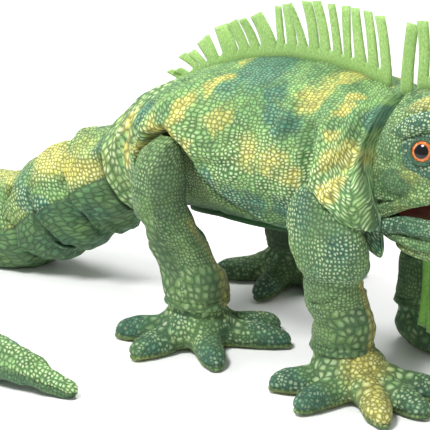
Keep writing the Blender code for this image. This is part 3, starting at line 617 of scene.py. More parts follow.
# Patches of colour on the flank: x, z, radius
FLANK_YELLOW = (
    (-0.070, 0.159, 0.010), (-0.058, 0.176, 0.007), (-0.047, 0.189, 0.006), (-0.088, 0.141, 0.007),
    (-0.032, 0.172, 0.009), (-0.004, 0.153, 0.011), (0.012, 0.149, 0.009), (0.025, 0.190, 0.010),
    (0.033, 0.201, 0.007), (0.051, 0.191, 0.005), (0.069, 0.208, 0.006), (0.053, 0.175, 0.006),
    (0.061, 0.161, 0.009), (0.047, 0.142, 0.006), (0.067, 0.144, 0.007), (0.026, 0.143, 0.007),
    (-0.050, 0.151, 0.006), (-0.118, 0.150, 0.008), (-0.108, 0.132, 0.008),
)
FLANK_TEAL = (
    (-0.018, 0.200, 0.014), (-0.034, 0.196, 0.011), (0.000, 0.190, 0.009), (0.016, 0.172, 0.010),
    (-0.023, 0.119, 0.012), (-0.038, 0.130, 0.008), (0.005, 0.178, 0.007), (0.073, 0.181, 0.006),
    (0.080, 0.190, 0.008), (-0.009, 0.114, 0.013), (0.018, 0.116, 0.011), (-0.095, 0.165, 0.008),
    (0.085, 0.112, 0.010),
)
# Creases seen from the side: x, z
RUMP_CREASES = (
    ((-0.120, 0.158), (-0.118, 0.145), (-0.119, 0.130), (-0.122, 0.118)),
    ((-0.060, 0.189), (-0.072, 0.178), (-0.086, 0.163), (-0.098, 0.147), (-0.106, 0.132)),
    ((-0.080, 0.190), (-0.094, 0.178), (-0.107, 0.164), (-0.113, 0.150)),
    ((-0.136, 0.148), (-0.132, 0.136), (-0.128, 0.122), (-0.122, 0.106)),
)
FLANK_CREASES = (
    ((0.018, 0.196), (0.022, 0.182), (0.021, 0.166), (0.026, 0.150)),
    ((0.050, 0.192), (0.054, 0.178), (0.053, 0.162)),
    ((0.063, 0.196), (0.066, 0.180), (0.066, 0.163), (0.062, 0.150)),
    ((0.004, 0.196), (0.010, 0.182), (0.012, 0.168)),
    ((-0.050, 0.168), (-0.036, 0.160), (-0.020, 0.156)), ((-0.046, 0.142), (-0.030, 0.140), (-0.012, 0.146)),
    ((0.052, 0.131), (0.056, 0.143), (0.058, 0.156)), ((0.071, 0.128), (0.070, 0.142), (0.073, 0.158)),
    ((0.020, 0.113), (0.000, 0.110), (-0.018, 0.113)), ((0.024, 0.121), (0.006, 0.119), (-0.012, 0.122)),
    ((-0.006, 0.186), (0.004, 0.178), (0.009, 0.166)), ((-0.030, 0.182), (-0.022, 0.170), (-0.016, 0.158)),
    ((0.026, 0.185), (0.028, 0.172), (0.030, 0.160)),
)
BELLY_OPENING = dict(x=-0.052, half_length=0.046, half_width=0.029)
TORSO_ROWS, TORSO_COLS = 64, 88
CAPE_REACH = 0.027  # how far the shoulder's skin hangs forward over the neck
POCKET_INSET = 0.0150


def torso_grid(rows, cols, inset=0.0):
    t = np.linspace(0, len(TORSO) - 1, rows)
    x, z, a, b, pitch = spline(t, np.arange(len(TORSO)), TORSO).T[:, :, None]
    turn = np.arange(cols)[None, :] * TAU / cols
    p = np.radians(pitch)
    up = (b - inset) * np.cos(turn)
    return np.stack([x - up * np.sin(p), -(a - inset) * np.sin(turn), z + up * np.cos(p)], -1)


def make_torso():
    p = torso_grid(TORSO_ROWS, TORSO_COLS)
    turn = np.arange(TORSO_COLS) * TAU / TORSO_COLS
    row = np.linspace(0, 1, TORSO_ROWS)[:, None]
    ends = np.maximum(1 - smooth(row, 0, 0.05), smooth(row, 0.94, 1.0))
    seams = np.maximum(bell(np.minimum(turn, TAU - turn), 0.10), bell(turn - math.pi, 0.7) * 0.7)[None, :]
    p = inflate(p, np.clip(np.maximum(ends, seams), 0, 1), pressure=1.6, grow=0.045, cap=0.005, frames=16)
    p = finer(p, count(250), count(310))
    row = np.linspace(0, 1, len(p))[:, None]
    x, y, z = np.moveaxis(p, -1, 0)
    low = smooth(0.162 - z, 0, 0.050) * smooth(x, 0.036, 0.070) * smooth(np.abs(y), 0.026, 0.050)
    hang = -0.027 * low * smooth(0.145 - z, 0, 0.035)
    p = p + np.stack([CAPE_REACH * low, 0.005 * low * np.sign(y), hang], -1)
    p[..., 2] -= 0.016 * low * smooth(p[..., 0], 0.066, 0.094)
    laid = p
    n = normals_of(p)
    collar = smooth(row, 0.865, 0.975) * smooth(p[..., 2], 0.100, 0.140)
    side_on = smooth(np.abs(n[..., 1]), 0.16, 0.62) * (1 - collar)
    sideways = np.stack([np.zeros(n.shape[:2]), np.sign(p[..., 1]), np.zeros(n.shape[:2])], -1)
    out = unit(0.35 * n + 0.65 * sideways)
    move = np.zeros(p.shape[:2])
    for side, scale, slide in ((-1, 1.0, 0.0), (1, 0.95, 0.003)):
        q = p + np.array((slide, 0, 0))
        hip, shoulder = pleat(q, HIP_PLEAT, side), pleat(q, SHOULDER_PLEAT, side)
        bulge = np.where(np.abs(hip) > np.abs(shoulder), hip, shoulder)
        bulge = bulge + 0.35 * np.where(np.abs(hip) > np.abs(shoulder), shoulder, hip)
        move += scale * (bulge + pleat(q, FLANK_TUCK, side))
        for line in RUMP_CREASES:
            move += scale * crease(q, line, 0.0026, 0.0030, side)
        for line in FLANK_CREASES:
            move += scale * crease(q, line, 0.0018, 0.0034, side)
    p = p + out * (move * side_on)[..., None]
    n = normals_of(p)
    folds = 0.0020 * noise(p * (1.5, 0.6, 0.75), 0.021, 2) * smooth(p[..., 0], -0.05, 0.0)
    wrinkles = folds + 0.0011 * noise(p * (1.0, 0.6, 1.6), 0.017, 3) + 0.0005 * noise(p, 0.0065, 5)
    p = p + n * (wrinkles * (0.5 + 0.5 * side_on))[..., None]
    paint_torso(p, n, laid)


def flank_patches(p):
    yellow, teal = np.zeros(p.shape[:-1]), np.zeros(p.shape[:-1])
    for side, slide in ((-1, 0.0), (1, 0.007)):
        jitter = np.stack([noise(p, 0.013, s) + 0.5 * noise(p, 0.005, s + 90) for s in (7, 8, 9)], -1)
        q = p + np.array((slide, 0, slide * 0.5)) + 0.0052 * jitter
        yellow = np.maximum(yellow, blobs(q, FLANK_YELLOW, side))
        teal = np.maximum(teal, blobs(q, FLANK_TEAL, side))
    return yellow, teal


def paint_torso(p, n, laid):
    yellow, teal = flank_patches(p)
    under = smooth(-n[..., 2], 0.45, 0.85) * smooth(0.125 - p[..., 2], 0, 0.02)
    fold = np.zeros(p.shape[:2])
    for side in (-1, 1):
        line = np.array(HIP_PLEAT)[1:6, :2]
        for a, b in zip(line[:-1], line[1:]):
            for t in (0, 0.5):
                c = a + (b - a) * t + (0.002, 0.005)
                fold = np.maximum(fold, bell(np.hypot(p[..., 0] - c[0], p[..., 2] - c[1]), 0.006))
    yellow = np.maximum(yellow * 0.9, fold * 0.95)
    # Painted shade: dark in the recess behind the hip pleat and on the underside.
    shaded_recess = ((pleat(p, HIP_PLEAT) < -0.002) & (p[..., 2] < 0.147)) * 1.0
    dark = 0.72 * shaded_recess * smooth(-p[..., 2], -0.152, -0.125)
    dark = dark + 0.35 * under * smooth(-p[..., 2], -0.11, -0.09)
    dots = 0.25 + 0.75 * smooth(-p[..., 2], -0.185, -0.150)
    dots = dots * (1 - 0.8 * under) * (1 - 0.5 * smooth(-p[..., 0], 0.085, 0.11))
    along_back = 0.45 * smooth(p[..., 2], 0.185, 0.20) * smooth(noise(p, 0.03, 12), -0.2, 0.5)
    teal = np.maximum(np.maximum(teal * 0.9, along_back), 0.6 * under)
    painted = look(p, yellow, teal * (1 - 0.7 * yellow), dark, dots)
    rump = smooth(-0.092 - p[..., 0], 0, 0.014)
    painted[..., 0] = np.clip(painted[..., 0] + 0.40 * rump * (0.8 + 0.6 * noise(p, 0.02, 14)), 0, 1)
    painted[..., 3] = np.maximum(painted[..., 3], 0.85 * rump)

    def keep(c):
        o = BELLY_OPENING
        inside = ((c[:, 0] - o["x"]) / o["half_length"]) ** 2 + (c[:, 1] / o["half_width"]) ** 2 < 1
        return ~(inside & (c[:, 2] < 0.115))

    body = skin("torso_skin", p, SKIN, paint=painted, plate=np.maximum(under * 0.6, 0.8 * rump), keep=keep,
                laid=laid)
    place(body, ("torso", "neck", (0.056, 0, 0.147), (0.094, 0, 0.147)), "scale_green",
          "torso_panel_right", "torso_panel_left", "belly_panel", fill=0.35)
    inner = torso_grid(count(90), count(110), POCKET_INSET)[2:-8]
    pocket = skin("torso_pocket", inner, POCKET, keep=keep)
    place(pocket, "torso", "hem_dark")
    make_opening_hem(p)
    make_back_comb(p)


def tube(name, path, radii, material, sides, flat=1.0, loop=False, paint=None, wobble=0.0, up=(0, 0, 1)):
    """A soft roll along a path, as a grid of rings square to it."""
    path = np.asarray(path, float)
    radii = np.broadcast_to(radii, len(path)).astype(float)
    ahead = np.roll(path, -1, 0) - np.roll(path, 1, 0) if loop else np.gradient(path, axis=0)
    ahead = unit(ahead)
    across = unit(np.cross(np.array(up, float), ahead) + 1e-9)
    above = np.cross(ahead, across)
    turn = math.pi + np.arange(sides) * TAU / sides
    ring = across[:, None] * np.sin(turn)[None, :, None] + above[:, None] * np.cos(turn)[None, :, None] * flat
    p = path[:, None] + ring * radii[:, None, None]
    if wobble:
        p = p + ring * (wobble * noise(p, 0.006, 21))[..., None]
    if loop:
        p = np.concatenate([p, p[:1]])
    painted = paint(p) if paint else None
    return skin(name, p, material, paint=painted, capped=not loop)


def make_opening_hem(p):
    """Bound edge round the belly opening, laid on the skin."""
    o = BELLY_OPENING
    points = p.reshape(-1, 3)
    points = points[points[:, 2] < 0.125]
    path = []
    for t in np.linspace(0, TAU, 72, endpoint=False):
        x, y = o["x"] + o["half_length"] * math.cos(t), o["half_width"] * math.sin(t)
        near = points[np.argsort(np.hypot(points[:, 0] - x, points[:, 1] - y))[:6]]
        path.append((x, y, near[:, 2].mean() - 0.0008))
    path = np.array(path)
    path[:, 2] = (np.roll(path[:, 2], 1) + path[:, 2] + np.roll(path[:, 2], -1)) / 3
    hem = tube("opening_binding", path, 0.0026, HEM, 16, loop=True)
    place(hem, "torso", "hem_dark", "opening_hem")


# ---------------------------------------------------------------- felt combs
# Strips of the back comb in millimetres: root x, root width, tip x, tip height, tip width
STRIPS = (
    (-116, 5, -125, 175, 5), (-110, 6, -118, 177, 6), (-101, 5, -114, 188, 6), (-94, 6, -107, 191, 5),
    (-86, 10, -98, 201, 12), (-71, 13, -82, 213, 11), (-59, 8, -70, 218, 9), (-50, 8, -59, 222, 6),
    (-38, 13, -50, 226, 10), (-28, 6, -32, 234, 5), (-19, 8, -26, 236, 7), (-10, 7, -20, 238, 5),
    (-1, 8, -7, 241, 7), (8, 8, 0, 242, 6), (18, 7, 13, 242, 5), (26, 6, 21, 241, 6),
    (36, 9, 29, 241, 7), (46, 8, 38, 240, 7), (56, 8, 49, 239, 8),
)
FELT_THICK = 0.0016
MM = 0.001


def ribbon_comb(name, strips, foot, root, seed, material=FELT, hang=1):
    """Felt cut into strips above a shared band: each strip bends and curls its own way."""
    rng = np.random.default_rng(seed)
    points, faces = [], []

    def add(rows):
        first, width = len(points), len(rows[0])
        for r in rows:
            points.extend(r)
        for i in range(len(rows) - 1):
            for j in range(width - 1):
                a = first + i * width + j
                faces.append((a, a + 1, a + width + 1, a + width))

    edges = []
    for k, (rx, rw, tx, tz, tw) in enumerate(strips):
        bend, curl, twist = rng.uniform(-0.10, 0.10), rng.uniform(-1, 1), rng.uniform(-0.35, 0.35)
        cut = rng.uniform(-0.5, 0.5)
        rx, rw, tx, tz, tw = (v * MM for v in (rx, rw, tx, tz, tw))
        tall = (tz - foot(rx)) * hang
        slit = min(root, 0.34 * tall)
        left, right = rx - rw / 2, rx + rw / 2
        edges.append((left, right, slit))
        share = (-0.5, -0.17, 0.17, 0.5)
        rows = []
        for level in (-0.004, slit * 0.5, slit):
            rows.append([(rx + e * rw, 0.0, foot(rx + e * rw) + hang * level) for e in share])
        base = foot(rx) + hang * slit
        lean = np.clip((tx - rx) / max(abs(tz - base), 0.004), -1.1, 1.1)
        for s in np.linspace(0, 1, 9)[1:]:
            width = rw + (tw - rw) * s - 0.0005
            cx = rx + (tx - rx) * (0.7 * s + 0.3 * s * s) + bend * abs(tz - base) * s * (1 - s)
            cz = base + (tz - base) * s
            row = []
            for e in share:
                slant = -lean * hang * e * width * 0.7 * s + 0.0022 * cut * e * s**6
                side = curl * 0.0045 * s**2 + twist * e * width * s
                drop = (foot(rx + e * rw) - foot(rx)) * (1 - s)
                row.append((cx + e * width, side, cz + slant + drop))
            rows.append(row)
        add(rows)
    for (_, a, low), (b, _, high) in zip(edges[:-1], edges[1:]):
        if b - a > 0.0001:
            add([[(x, 0.0, foot(x) + hang * v) for x, v in ((a, va), (b, vb))]
                 for va, vb in ((-0.004, -0.004), (low * 0.5, high * 0.5), (low * 0.9, high * 0.9))])
    made = build(name, np.array(points), faces)
    made.data.materials.append(material)
    weld = made.modifiers.new("weld", "WELD")
    weld.merge_threshold = 0.0002
    thick = made.modifiers.new("felt", "SOLIDIFY")
    thick.thickness, thick.offset = FELT_THICK, 0
    return made


def declare_comb(obj, body, nodes):
    """Settles a felt comb on its body and hides the CAD nodes it stands for."""
    place(obj, body, "felt_green", *nodes)


def make_back_comb(p):
    spine = p[:, 0]
    order = np.argsort(spine[:, 0])

    def foot(x):
        return float(np.interp(x, spine[order, 0], spine[order, 2])) - 0.0008

    comb = ribbon_comb("back_comb", STRIPS, foot, 0.0105, 4)
    declare_comb(comb, "torso", ["back_crest"])


# Strips of the head's comb, and the one before it, as for the back
NAPE_STRIPS = ((84, 8, 83, 241, 8), (94, 9, 97, 243, 9), (104, 8, 108, 240, 8), (113, 8, 119, 236, 7),
               (122, 7, 129, 230, 6), (130, 7, 138, 223, 6))
LOOSE_STRIP = ((72, 9, 76, 238, 8),)
HEAD_SPINE = ((0.076, 0.1925), (0.083, 0.1965), (0.0998, 0.1985), (0.122, 0.1965), (0.136, 0.1920))


def make_head_comb():
    xs, zs = zip(*HEAD_SPINE)

    def foot(x):
        return float(np.interp(x, xs, zs))

    comb = ribbon_comb("head_comb", NAPE_STRIPS, foot, 0.0095, 9)
    declare_comb(comb, "head", ["head_crest"])
    loose = ribbon_comb("nape_strip", LOOSE_STRIP, lambda x: 0.1905, 0.012, 2)
    declare_comb(loose, "neck", [])


# ---------------------------------------------------------------- neck
NECK_RINGS = (
    (0.0590, 0.1445, 0.0395, 0.0415), (0.0650, 0.1445, 0.0390, 0.0415), (0.0705, 0.1440, 0.0385, 0.0415),
    (0.0745, 0.1440, 0.0400, 0.0430), (0.0790, 0.1450, 0.0445, 0.0480), (0.0840, 0.1455, 0.0462, 0.0500),
    (0.0885, 0.1450, 0.0450, 0.0485), (0.0920, 0.1440, 0.0420, 0.0450),
)
NECK_SPLIT = 0.5


def make_neck():
    t = np.linspace(0, len(NECK_RINGS) - 1, count(84))
    x, z, a, b = spline(t, np.arange(len(NECK_RINGS)), NECK_RINGS).T[:, :, None]
    turn = np.arange(count(220))[None, :] * TAU / count(220)
    p = np.stack([x + 0 * turn, -a * np.sin(turn), z + b * np.cos(turn)], -1)
    n = normals_of(p)
    rolls = 0.0013 * np.cos((p[..., 0] - 0.077 + 0.002 * noise(p, 0.02, 31)) * TAU / 0.0105)
    rolls = rolls + 0.0007 * noise(p * (2.2, 0.7, 0.7), 0.012, 33)
    p = p + n * rolls[..., None]
    teal = 0.35 + 0.3 * noise(p, 0.02, 34)
    yellow = 0.5 * smooth(noise(p, 0.024, 36), 0.1, 0.6)
    painted = look(p, yellow, teal, 0.10, 0.55)
    half = int(len(p) * NECK_SPLIT)
    rear = skin("neck_rear", p[: half + 1], FACE, paint=painted[: half + 1])
    front = skin("neck_front", p[half:], FACE, paint=painted[half:])
    place(rear, ("torso", "neck", (0.060, 0, 0.147), (0.0725, 0, 0.147)), "scale_teal", "neck_skin")
    place(front, ("neck", "head", (0.0765, 0, 0.147), (0.088, 0, 0.147)), "scale_teal")


# ---------------------------------------------------------------- head and jaw
HEAD_PITCH, ARCH_POWER, FACE_EDGE = 20.0, 2.6, 0.0110
LIP_CORNER = (-0.0045, 0.0425)
LIP_WIDTHS = (
    (0.006, 0.0415), (0.022, 0.0430), (0.040, 0.0410), (0.058, 0.0350), (0.074, 0.0265), (0.086, 0.0170),
    (0.0925, 0.0080), (0.0945, 0.0),
)
HEAD_ARCHES = (
    (0.018, 0.0475, 0.0540), (0.038, 0.0455, 0.0505), (0.056, 0.0400, 0.0425), (0.072, 0.0320, 0.0325),
    (0.085, 0.0220, 0.0230), (0.093, 0.0110, 0.0130), (0.0962, 0.0030, 0.0050),
)
JAW_TROUGHS = (
    (-0.010, 0.0370, 0.0150), (-0.002, 0.0405, 0.0185), (0.006, 0.0420, 0.0200), (0.022, 0.0440, 0.0220),
    (0.040, 0.0425, 0.0220), (0.058, 0.0365, 0.0190), (0.074, 0.0280, 0.0150), (0.086, 0.0180, 0.0110),
    (0.093, 0.0090, 0.0065), (0.0962, 0.0020, 0.0030),
)
# Creases of the cheek: depth, then u and share of the height along each
CHEEK_FOLDS = (
    (0.0016, ((0.010, 0.30), (0.020, 0.34), (0.030, 0.24), (0.040, 0.14))),
    (0.0014, ((0.050, 0.62), (0.064, 0.66), (0.078, 0.72))),
)
EYE_AT = (0.0400, 0.385)
EYE_RADIUS = 0.0072


def face_points(u, y, v, pitch):
    p = math.radians(pitch)
    u, y, v = np.broadcast_arrays(u, y, v)
    return HINGE + np.stack([u * math.cos(p) - v * math.sin(p), y, u * math.sin(p) + v * math.cos(p)], -1)


def arch_rows(stations, rows, cols, pitch, sign):
    """An arch over the mouth, or a trough under it, and each point's share of the height."""
    t = np.linspace(0, len(stations) - 1, rows)
    u, w, h = spline(t, np.arange(len(stations)), stations).T[:, :, None]
    turn = np.linspace(0, math.pi, cols)[None, :]
    c, s = np.cos(turn), np.sin(turn)
    y = -w * np.sign(c) * np.abs(c) ** (2 / ARCH_POWER)
    v = h * np.abs(s) ** (2 / ARCH_POWER)
    v = v - 0.0080 * (1 - smooth(v / h, 0.0, 0.16)) * (sign > 0)
    return face_points(u, y, sign * (FACE_EDGE + v), pitch), v / h


def head_spot(u, share, side, out=0.0):
    """A point on the head's skin at u and a share of its height, and the way it faces."""
    us = [a[0] for a in HEAD_ARCHES]

    def at(uu, part):
        half, tall = (float(np.interp(uu, us, [a[i] for a in HEAD_ARCHES])) for i in (1, 2))
        across = half * (1 - part**ARCH_POWER) ** (1 / ARCH_POWER)
        return face_points(uu, side * across, FACE_EDGE + tall * part, HEAD_PITCH)

    n = np.cross(at(u + 0.002, share) - at(u - 0.002, share), at(u, share + 0.02) - at(u, share - 0.02))
    n = unit(n) * -side
    return at(u, share) + n * out, n


def head_at(x, z, side, out=0.0):
    """The point of the head's skin seen at x and z from the side, and the way it faces."""
    p = math.radians(HEAD_PITCH)
    dx, dz = x - HINGE[0], z - HINGE[2]
    u, v = dx * math.cos(p) + dz * math.sin(p), -dx * math.sin(p) + dz * math.cos(p)
    tall = float(np.interp(u, [a[0] for a in HEAD_ARCHES], [a[2] for a in HEAD_ARCHES]))
    return head_spot(u, float(np.clip((v - FACE_EDGE) / tall, 0.0, 0.985)), side, out)


def make_head():
    rows, cols = count(170), count(230)
    p, _ = arch_rows(HEAD_ARCHES, rows, cols, HEAD_PITCH, 1)
    rim_turn = np.linspace(0, math.pi, cols)
    c, s = np.cos(rim_turn), np.sin(rim_turn)
    rim = np.stack([
        np.full(cols, 0.0800), -0.0462 * np.sign(c) * np.abs(c) ** (2 / ARCH_POWER),
        0.1350 + 0.0570 * np.abs(s) ** (2 / ARCH_POWER),
    ], -1)
    swell = (0.004, 0, 0.0014) + 0.0012 * np.sign(rim - NECK) * (0, 1, 1)
    stack = np.concatenate([rim[None], rim[None] + swell, p[:: max(1, rows // 14)], p[-1:]])
    keep_rows = len(stack)
    p = spline(np.linspace(0, keep_rows - 1, rows + 30), np.arange(keep_rows), stack)
    inside = HINGE + (0.035, 0, 0.020)
    n = normals_of(p, False, inside)
    out = np.zeros(p.shape[:2])
    for sgn, _ in SIDES:
        eye, _ = head_spot(*EYE_AT, sgn)
        cheek, _ = head_spot(0.030, 0.14, sgn)
        temple, _ = head_spot(0.020, 0.52, sgn)
        d = np.linalg.norm((p - eye) * (0.85, 1, 1.0), axis=-1)
        out += -0.0030 * bell(d, 0.0085) + 0.0028 * bell(d - 0.0165, 0.0045)
        out += 0.0034 * bell(np.linalg.norm(p - cheek, axis=-1), 0.0130)
        out += 0.0015 * bell(np.linalg.norm(p - temple, axis=-1), 0.0100)
        nostril, _ = head_spot(0.084, 0.62, sgn)
        d = np.linalg.norm(p - nostril, axis=-1)
        out += 0.0022 * bell(d, 0.0060) - 0.0042 * bell(d, 0.0022)
        for depth, spots in CHEEK_FOLDS:
            out += crease(p, [head_spot(u, share, sgn)[0][[0, 2]] for u, share in spots], depth, 0.0022, sgn)
    out += 0.0007 * noise(p, 0.010, 41) + 0.0004 * noise(p, 0.0045, 42)
    p = p + n * out[..., None]

    def far_from(u, share, sgn):
        return np.linalg.norm(p - head_spot(u, share, sgn)[0], axis=-1)

    eye_ring = sum(bell(far_from(*EYE_AT, sgn) - 0.010, 0.0065) for sgn, _ in SIDES)
    cheek = sum(bell(far_from(0.028, 0.17, sgn), 0.0120) for sgn, _ in SIDES)
    top = smooth(p[..., 2], 0.192, 0.206)
    yellow = np.clip(0.62 * cheek + 0.5 * top + 0.25 * noise(p, 0.014, 43), 0, 1)
    teal = np.clip(0.85 * eye_ring + 0.30 * smooth(noise(p, 0.020, 44), -0.1, 0.5), 0, 1) * (1 - 0.6 * cheek)
    made = skin("head_plush", p, FACE, closed=False, inside=inside, paint=look(p, yellow, teal, 0.06, 0.75))
    place(made, "head", "scale_green", "head_skin", fill=0.6)
    make_lip("upper_lip_roll", HEAD_PITCH, 0.0026, 0.0044, "head", "scale_yellow", "upper_lip", 0.40, 0.10)
    for sgn, word in SIDES:
        make_face_side(sgn, word)
    make_head_comb()


def lip_line(v, drop, pitch, inset=0.0005, points=140):
    """Path of a lip round the mouth, falling by drop where it ends at the cheeks."""
    right = np.array([(u, -w) for u, w in (LIP_CORNER,) + LIP_WIDTHS])
    line = np.concatenate([right, right[-2::-1] * (1, -1)])
    seg = np.concatenate([[0], np.cumsum(np.linalg.norm(np.diff(line, axis=0), axis=1))])
    line = spline(np.linspace(0, seg[-1], points), seg, line)
    line[:, 0] -= inset
    fall = drop * (1 - smooth(line[:, 0], -0.010, 0.026)) ** 1.3
    return face_points(line[:, 0], line[:, 1], v - fall, pitch)


def make_lip(name, pitch, height, drop, body, slot, node, yellow, teal):
    """Padded roll round the mouth, with the seam that gathers it to the face."""
    sign = 1 if height > 0 else -1
    path = lip_line(height, drop, pitch)
    ends = smooth(np.abs(np.linspace(-1, 1, len(path))), 0.93, 1.0)
    radii = 0.0057 * (1 - 0.20 * ends)

    def paint(p):
        seam = bell((p - path[:, None])[..., 2] * sign - 0.0048, 0.0010)
        return look(p, yellow + 0.25 * noise(p, 0.012, 51), teal + 0.2 * noise(p, 0.015, 52), 0.6 * seam, 0.8)

    made = tube(name, path, radii, FACE, count(36), flat=1.02, paint=paint, wobble=0.0004)
    place(made, body, slot, node, fill=0.7)


def dome(name, centre, normal, radii, paint, rings, bend=None):
    """A shallow stuffed button on the skin, square to a normal; radii are out, along and up."""
    across = unit(np.cross((0, 0, 1.0), normal))
    above = np.cross(normal, across)
    sides = 44
    s = np.linspace(-0.35, 1, rings)[:, None]
    width = np.sqrt(np.clip(1 - s**2, 0.0006, 1))
    turn = np.arange(sides)[None, :] * TAU / sides
    p = (
        centre + normal * (s * radii[0])[..., None] * np.ones((1, sides, 1))
        + across * (width * np.cos(turn) * radii[1])[..., None]
        + above * (width * np.sin(turn) * radii[2])[..., None]
    )
    if bend:
        p = bend(p)
    return skin(name, p, FACE, paint=paint(p), capped=True, inside=centre)


# Rolls over the eye: x, z and thickness
BROW = (
    (0.0880, 0.1785, 0.0012), (0.0920, 0.1788, 0.0040), (0.0985, 0.1808, 0.0062), (0.1060, 0.1845, 0.0072),
    (0.1140, 0.1868, 0.0072), (0.1230, 0.1872, 0.0066), (0.1310, 0.1855, 0.0050), (0.1360, 0.1835, 0.0015),
)
CROWN = (
    (0.0880, 0.1775, 0.0012), (0.0920, 0.1815, 0.0042), (0.0985, 0.1875, 0.0070), (0.1060, 0.1920, 0.0084),
    (0.1140, 0.1940, 0.0084), (0.1220, 0.1938, 0.0070), (0.1290, 0.1920, 0.0045), (0.1330, 0.1900, 0.0015),
)


def make_brow(name, stops, lift, normal, sgn, paint, slot, node):
    """A stuffed roll that follows the head's skin through the stops."""
    line = np.array([head_at(x, z, sgn, lift * r)[0] for x, z, r in stops])
    knots = np.arange(len(stops))
    ts = np.linspace(0, len(stops) - 1, 72)
    radii = np.maximum(spline(ts, knots, [r for _, _, r in stops]), 0.0008)
    path = spline(ts, knots, line)
    made = tube(name, path, radii, FACE, count(44), up=tuple(normal), wobble=0.0005, paint=paint)
    place(made, "head", slot, node, fill=0.7)


def make_face_side(sgn, word):
    spot, n = head_at(0.1120, 0.1695, sgn, 0.0003)
    drop = unit(np.cross(np.cross((0, 0, 1.0), n), n))

    def teardrop(p):
        q = p - spot
        pull = smooth((q * drop).sum(-1), 0.0, 0.012)
        return p + drop * (0.0030 * pull)[..., None] + np.array((0.0030, 0, 0)) * pull[..., None]

    pad = dome("eye_pad_" + word, spot, n, (0.0030, 0.0140, 0.0138), lambda p: look(p, 0.0, 1.0, 0.30, 1.0), 16,
               bend=teardrop)
    place(pad, "head", "scale_teal", "eye_socket_" + word, fill=0.5)
    spot, n = head_spot(*EYE_AT, sgn, 0.0026)
    make_eye("eye_ball_" + word, spot, n, "eye_" + word)
    lid_at, n = head_spot(*EYE_AT, sgn, 0.0042)
    across = unit(np.cross((0, 0, 1.0), n))
    above = np.cross(n, across)
    turns = np.linspace(0, TAU, 48, endpoint=False)
    ring = [lid_at + (across * math.cos(t) + above * math.sin(t)) * 0.0077 for t in turns]
    lid = tube("eye_rim_" + word, ring, 0.0013, FACE, 14, loop=True, up=tuple(n),
               paint=lambda p: look(p, 0.1, 0.8, 0.45, 0.2))
    place(lid, "head", "scale_teal")
    make_brow("brow_roll_" + word, BROW, 0.35, n, sgn,
              lambda p: look(p, 0.10, 0.70 + 0.3 * noise(p, 0.01, 61), 0.0, 1.0),
              "scale_teal", "brow_" + word)

    def crown_look(p):
        top = p[..., 2]
        dots = 0.9 - 0.4 * smooth(top, 0.19, 0.204)
        return look(p, 0.75 * smooth(top, 0.184, 0.202) + 0.15, 0.10, 0.0, dots)

    make_brow("crown_pad_" + word, CROWN, 0.10, n, sgn, crown_look, "scale_yellow", "crown_roll_" + word)
    spot, n = head_spot(0.018, 0.10, sgn, 0.0015)
    patch = dome("ear_pad_" + word, spot, n, (0.0034, 0.0105, 0.0088),
                 lambda p: look(p, 0.10, 0.45, 0.35, 0.55), 12)
    place(patch, "head", "scale_green", "ear_patch_" + word, fill=0.5)


def make_eye(name, centre, normal, node):
    """Clear domed eye: distance from its middle and turn round it are kept for the iris."""
    rings, sides = 30, 60
    across = unit(np.cross((0, 0, 1.0), normal))
    above = np.cross(normal, across)
    a = np.linspace(math.pi * 0.62, 0.02, rings)[:, None]
    turn = np.arange(sides)[None, :] * TAU / sides
    p = (
        centre + normal * (np.cos(a) * EYE_RADIUS * 0.62)[..., None] * np.ones((1, sides, 1))
        + across * (np.sin(a) * np.cos(turn) * EYE_RADIUS)[..., None]
        + above * (np.sin(a) * np.sin(turn) * EYE_RADIUS)[..., None]
    )
    made = skin(name, p, EYE, capped=True, inside=centre)
    share = np.where(a < math.pi / 2, np.sin(a), 1.0) + 0 * turn
    middles = [1.0, 0.0]
    for key, grid in (("ring", share), ("turn", np.abs(turn / math.pi - 1) + 0 * a)):
        values = np.concatenate([grid.ravel(), middles]).astype(np.float32)
        made.data.attributes.new(key, "FLOAT", "POINT").data.foreach_set("value", values)
    place(made, "head", "iris_orange", node)


# Rolls along the jaw: share of its depth, thickness, how yellow
JOWLS = ((0.34, 0.0036, 0.1), (0.62, 0.0044, 0.45), (0.86, 0.0040, 0.30))


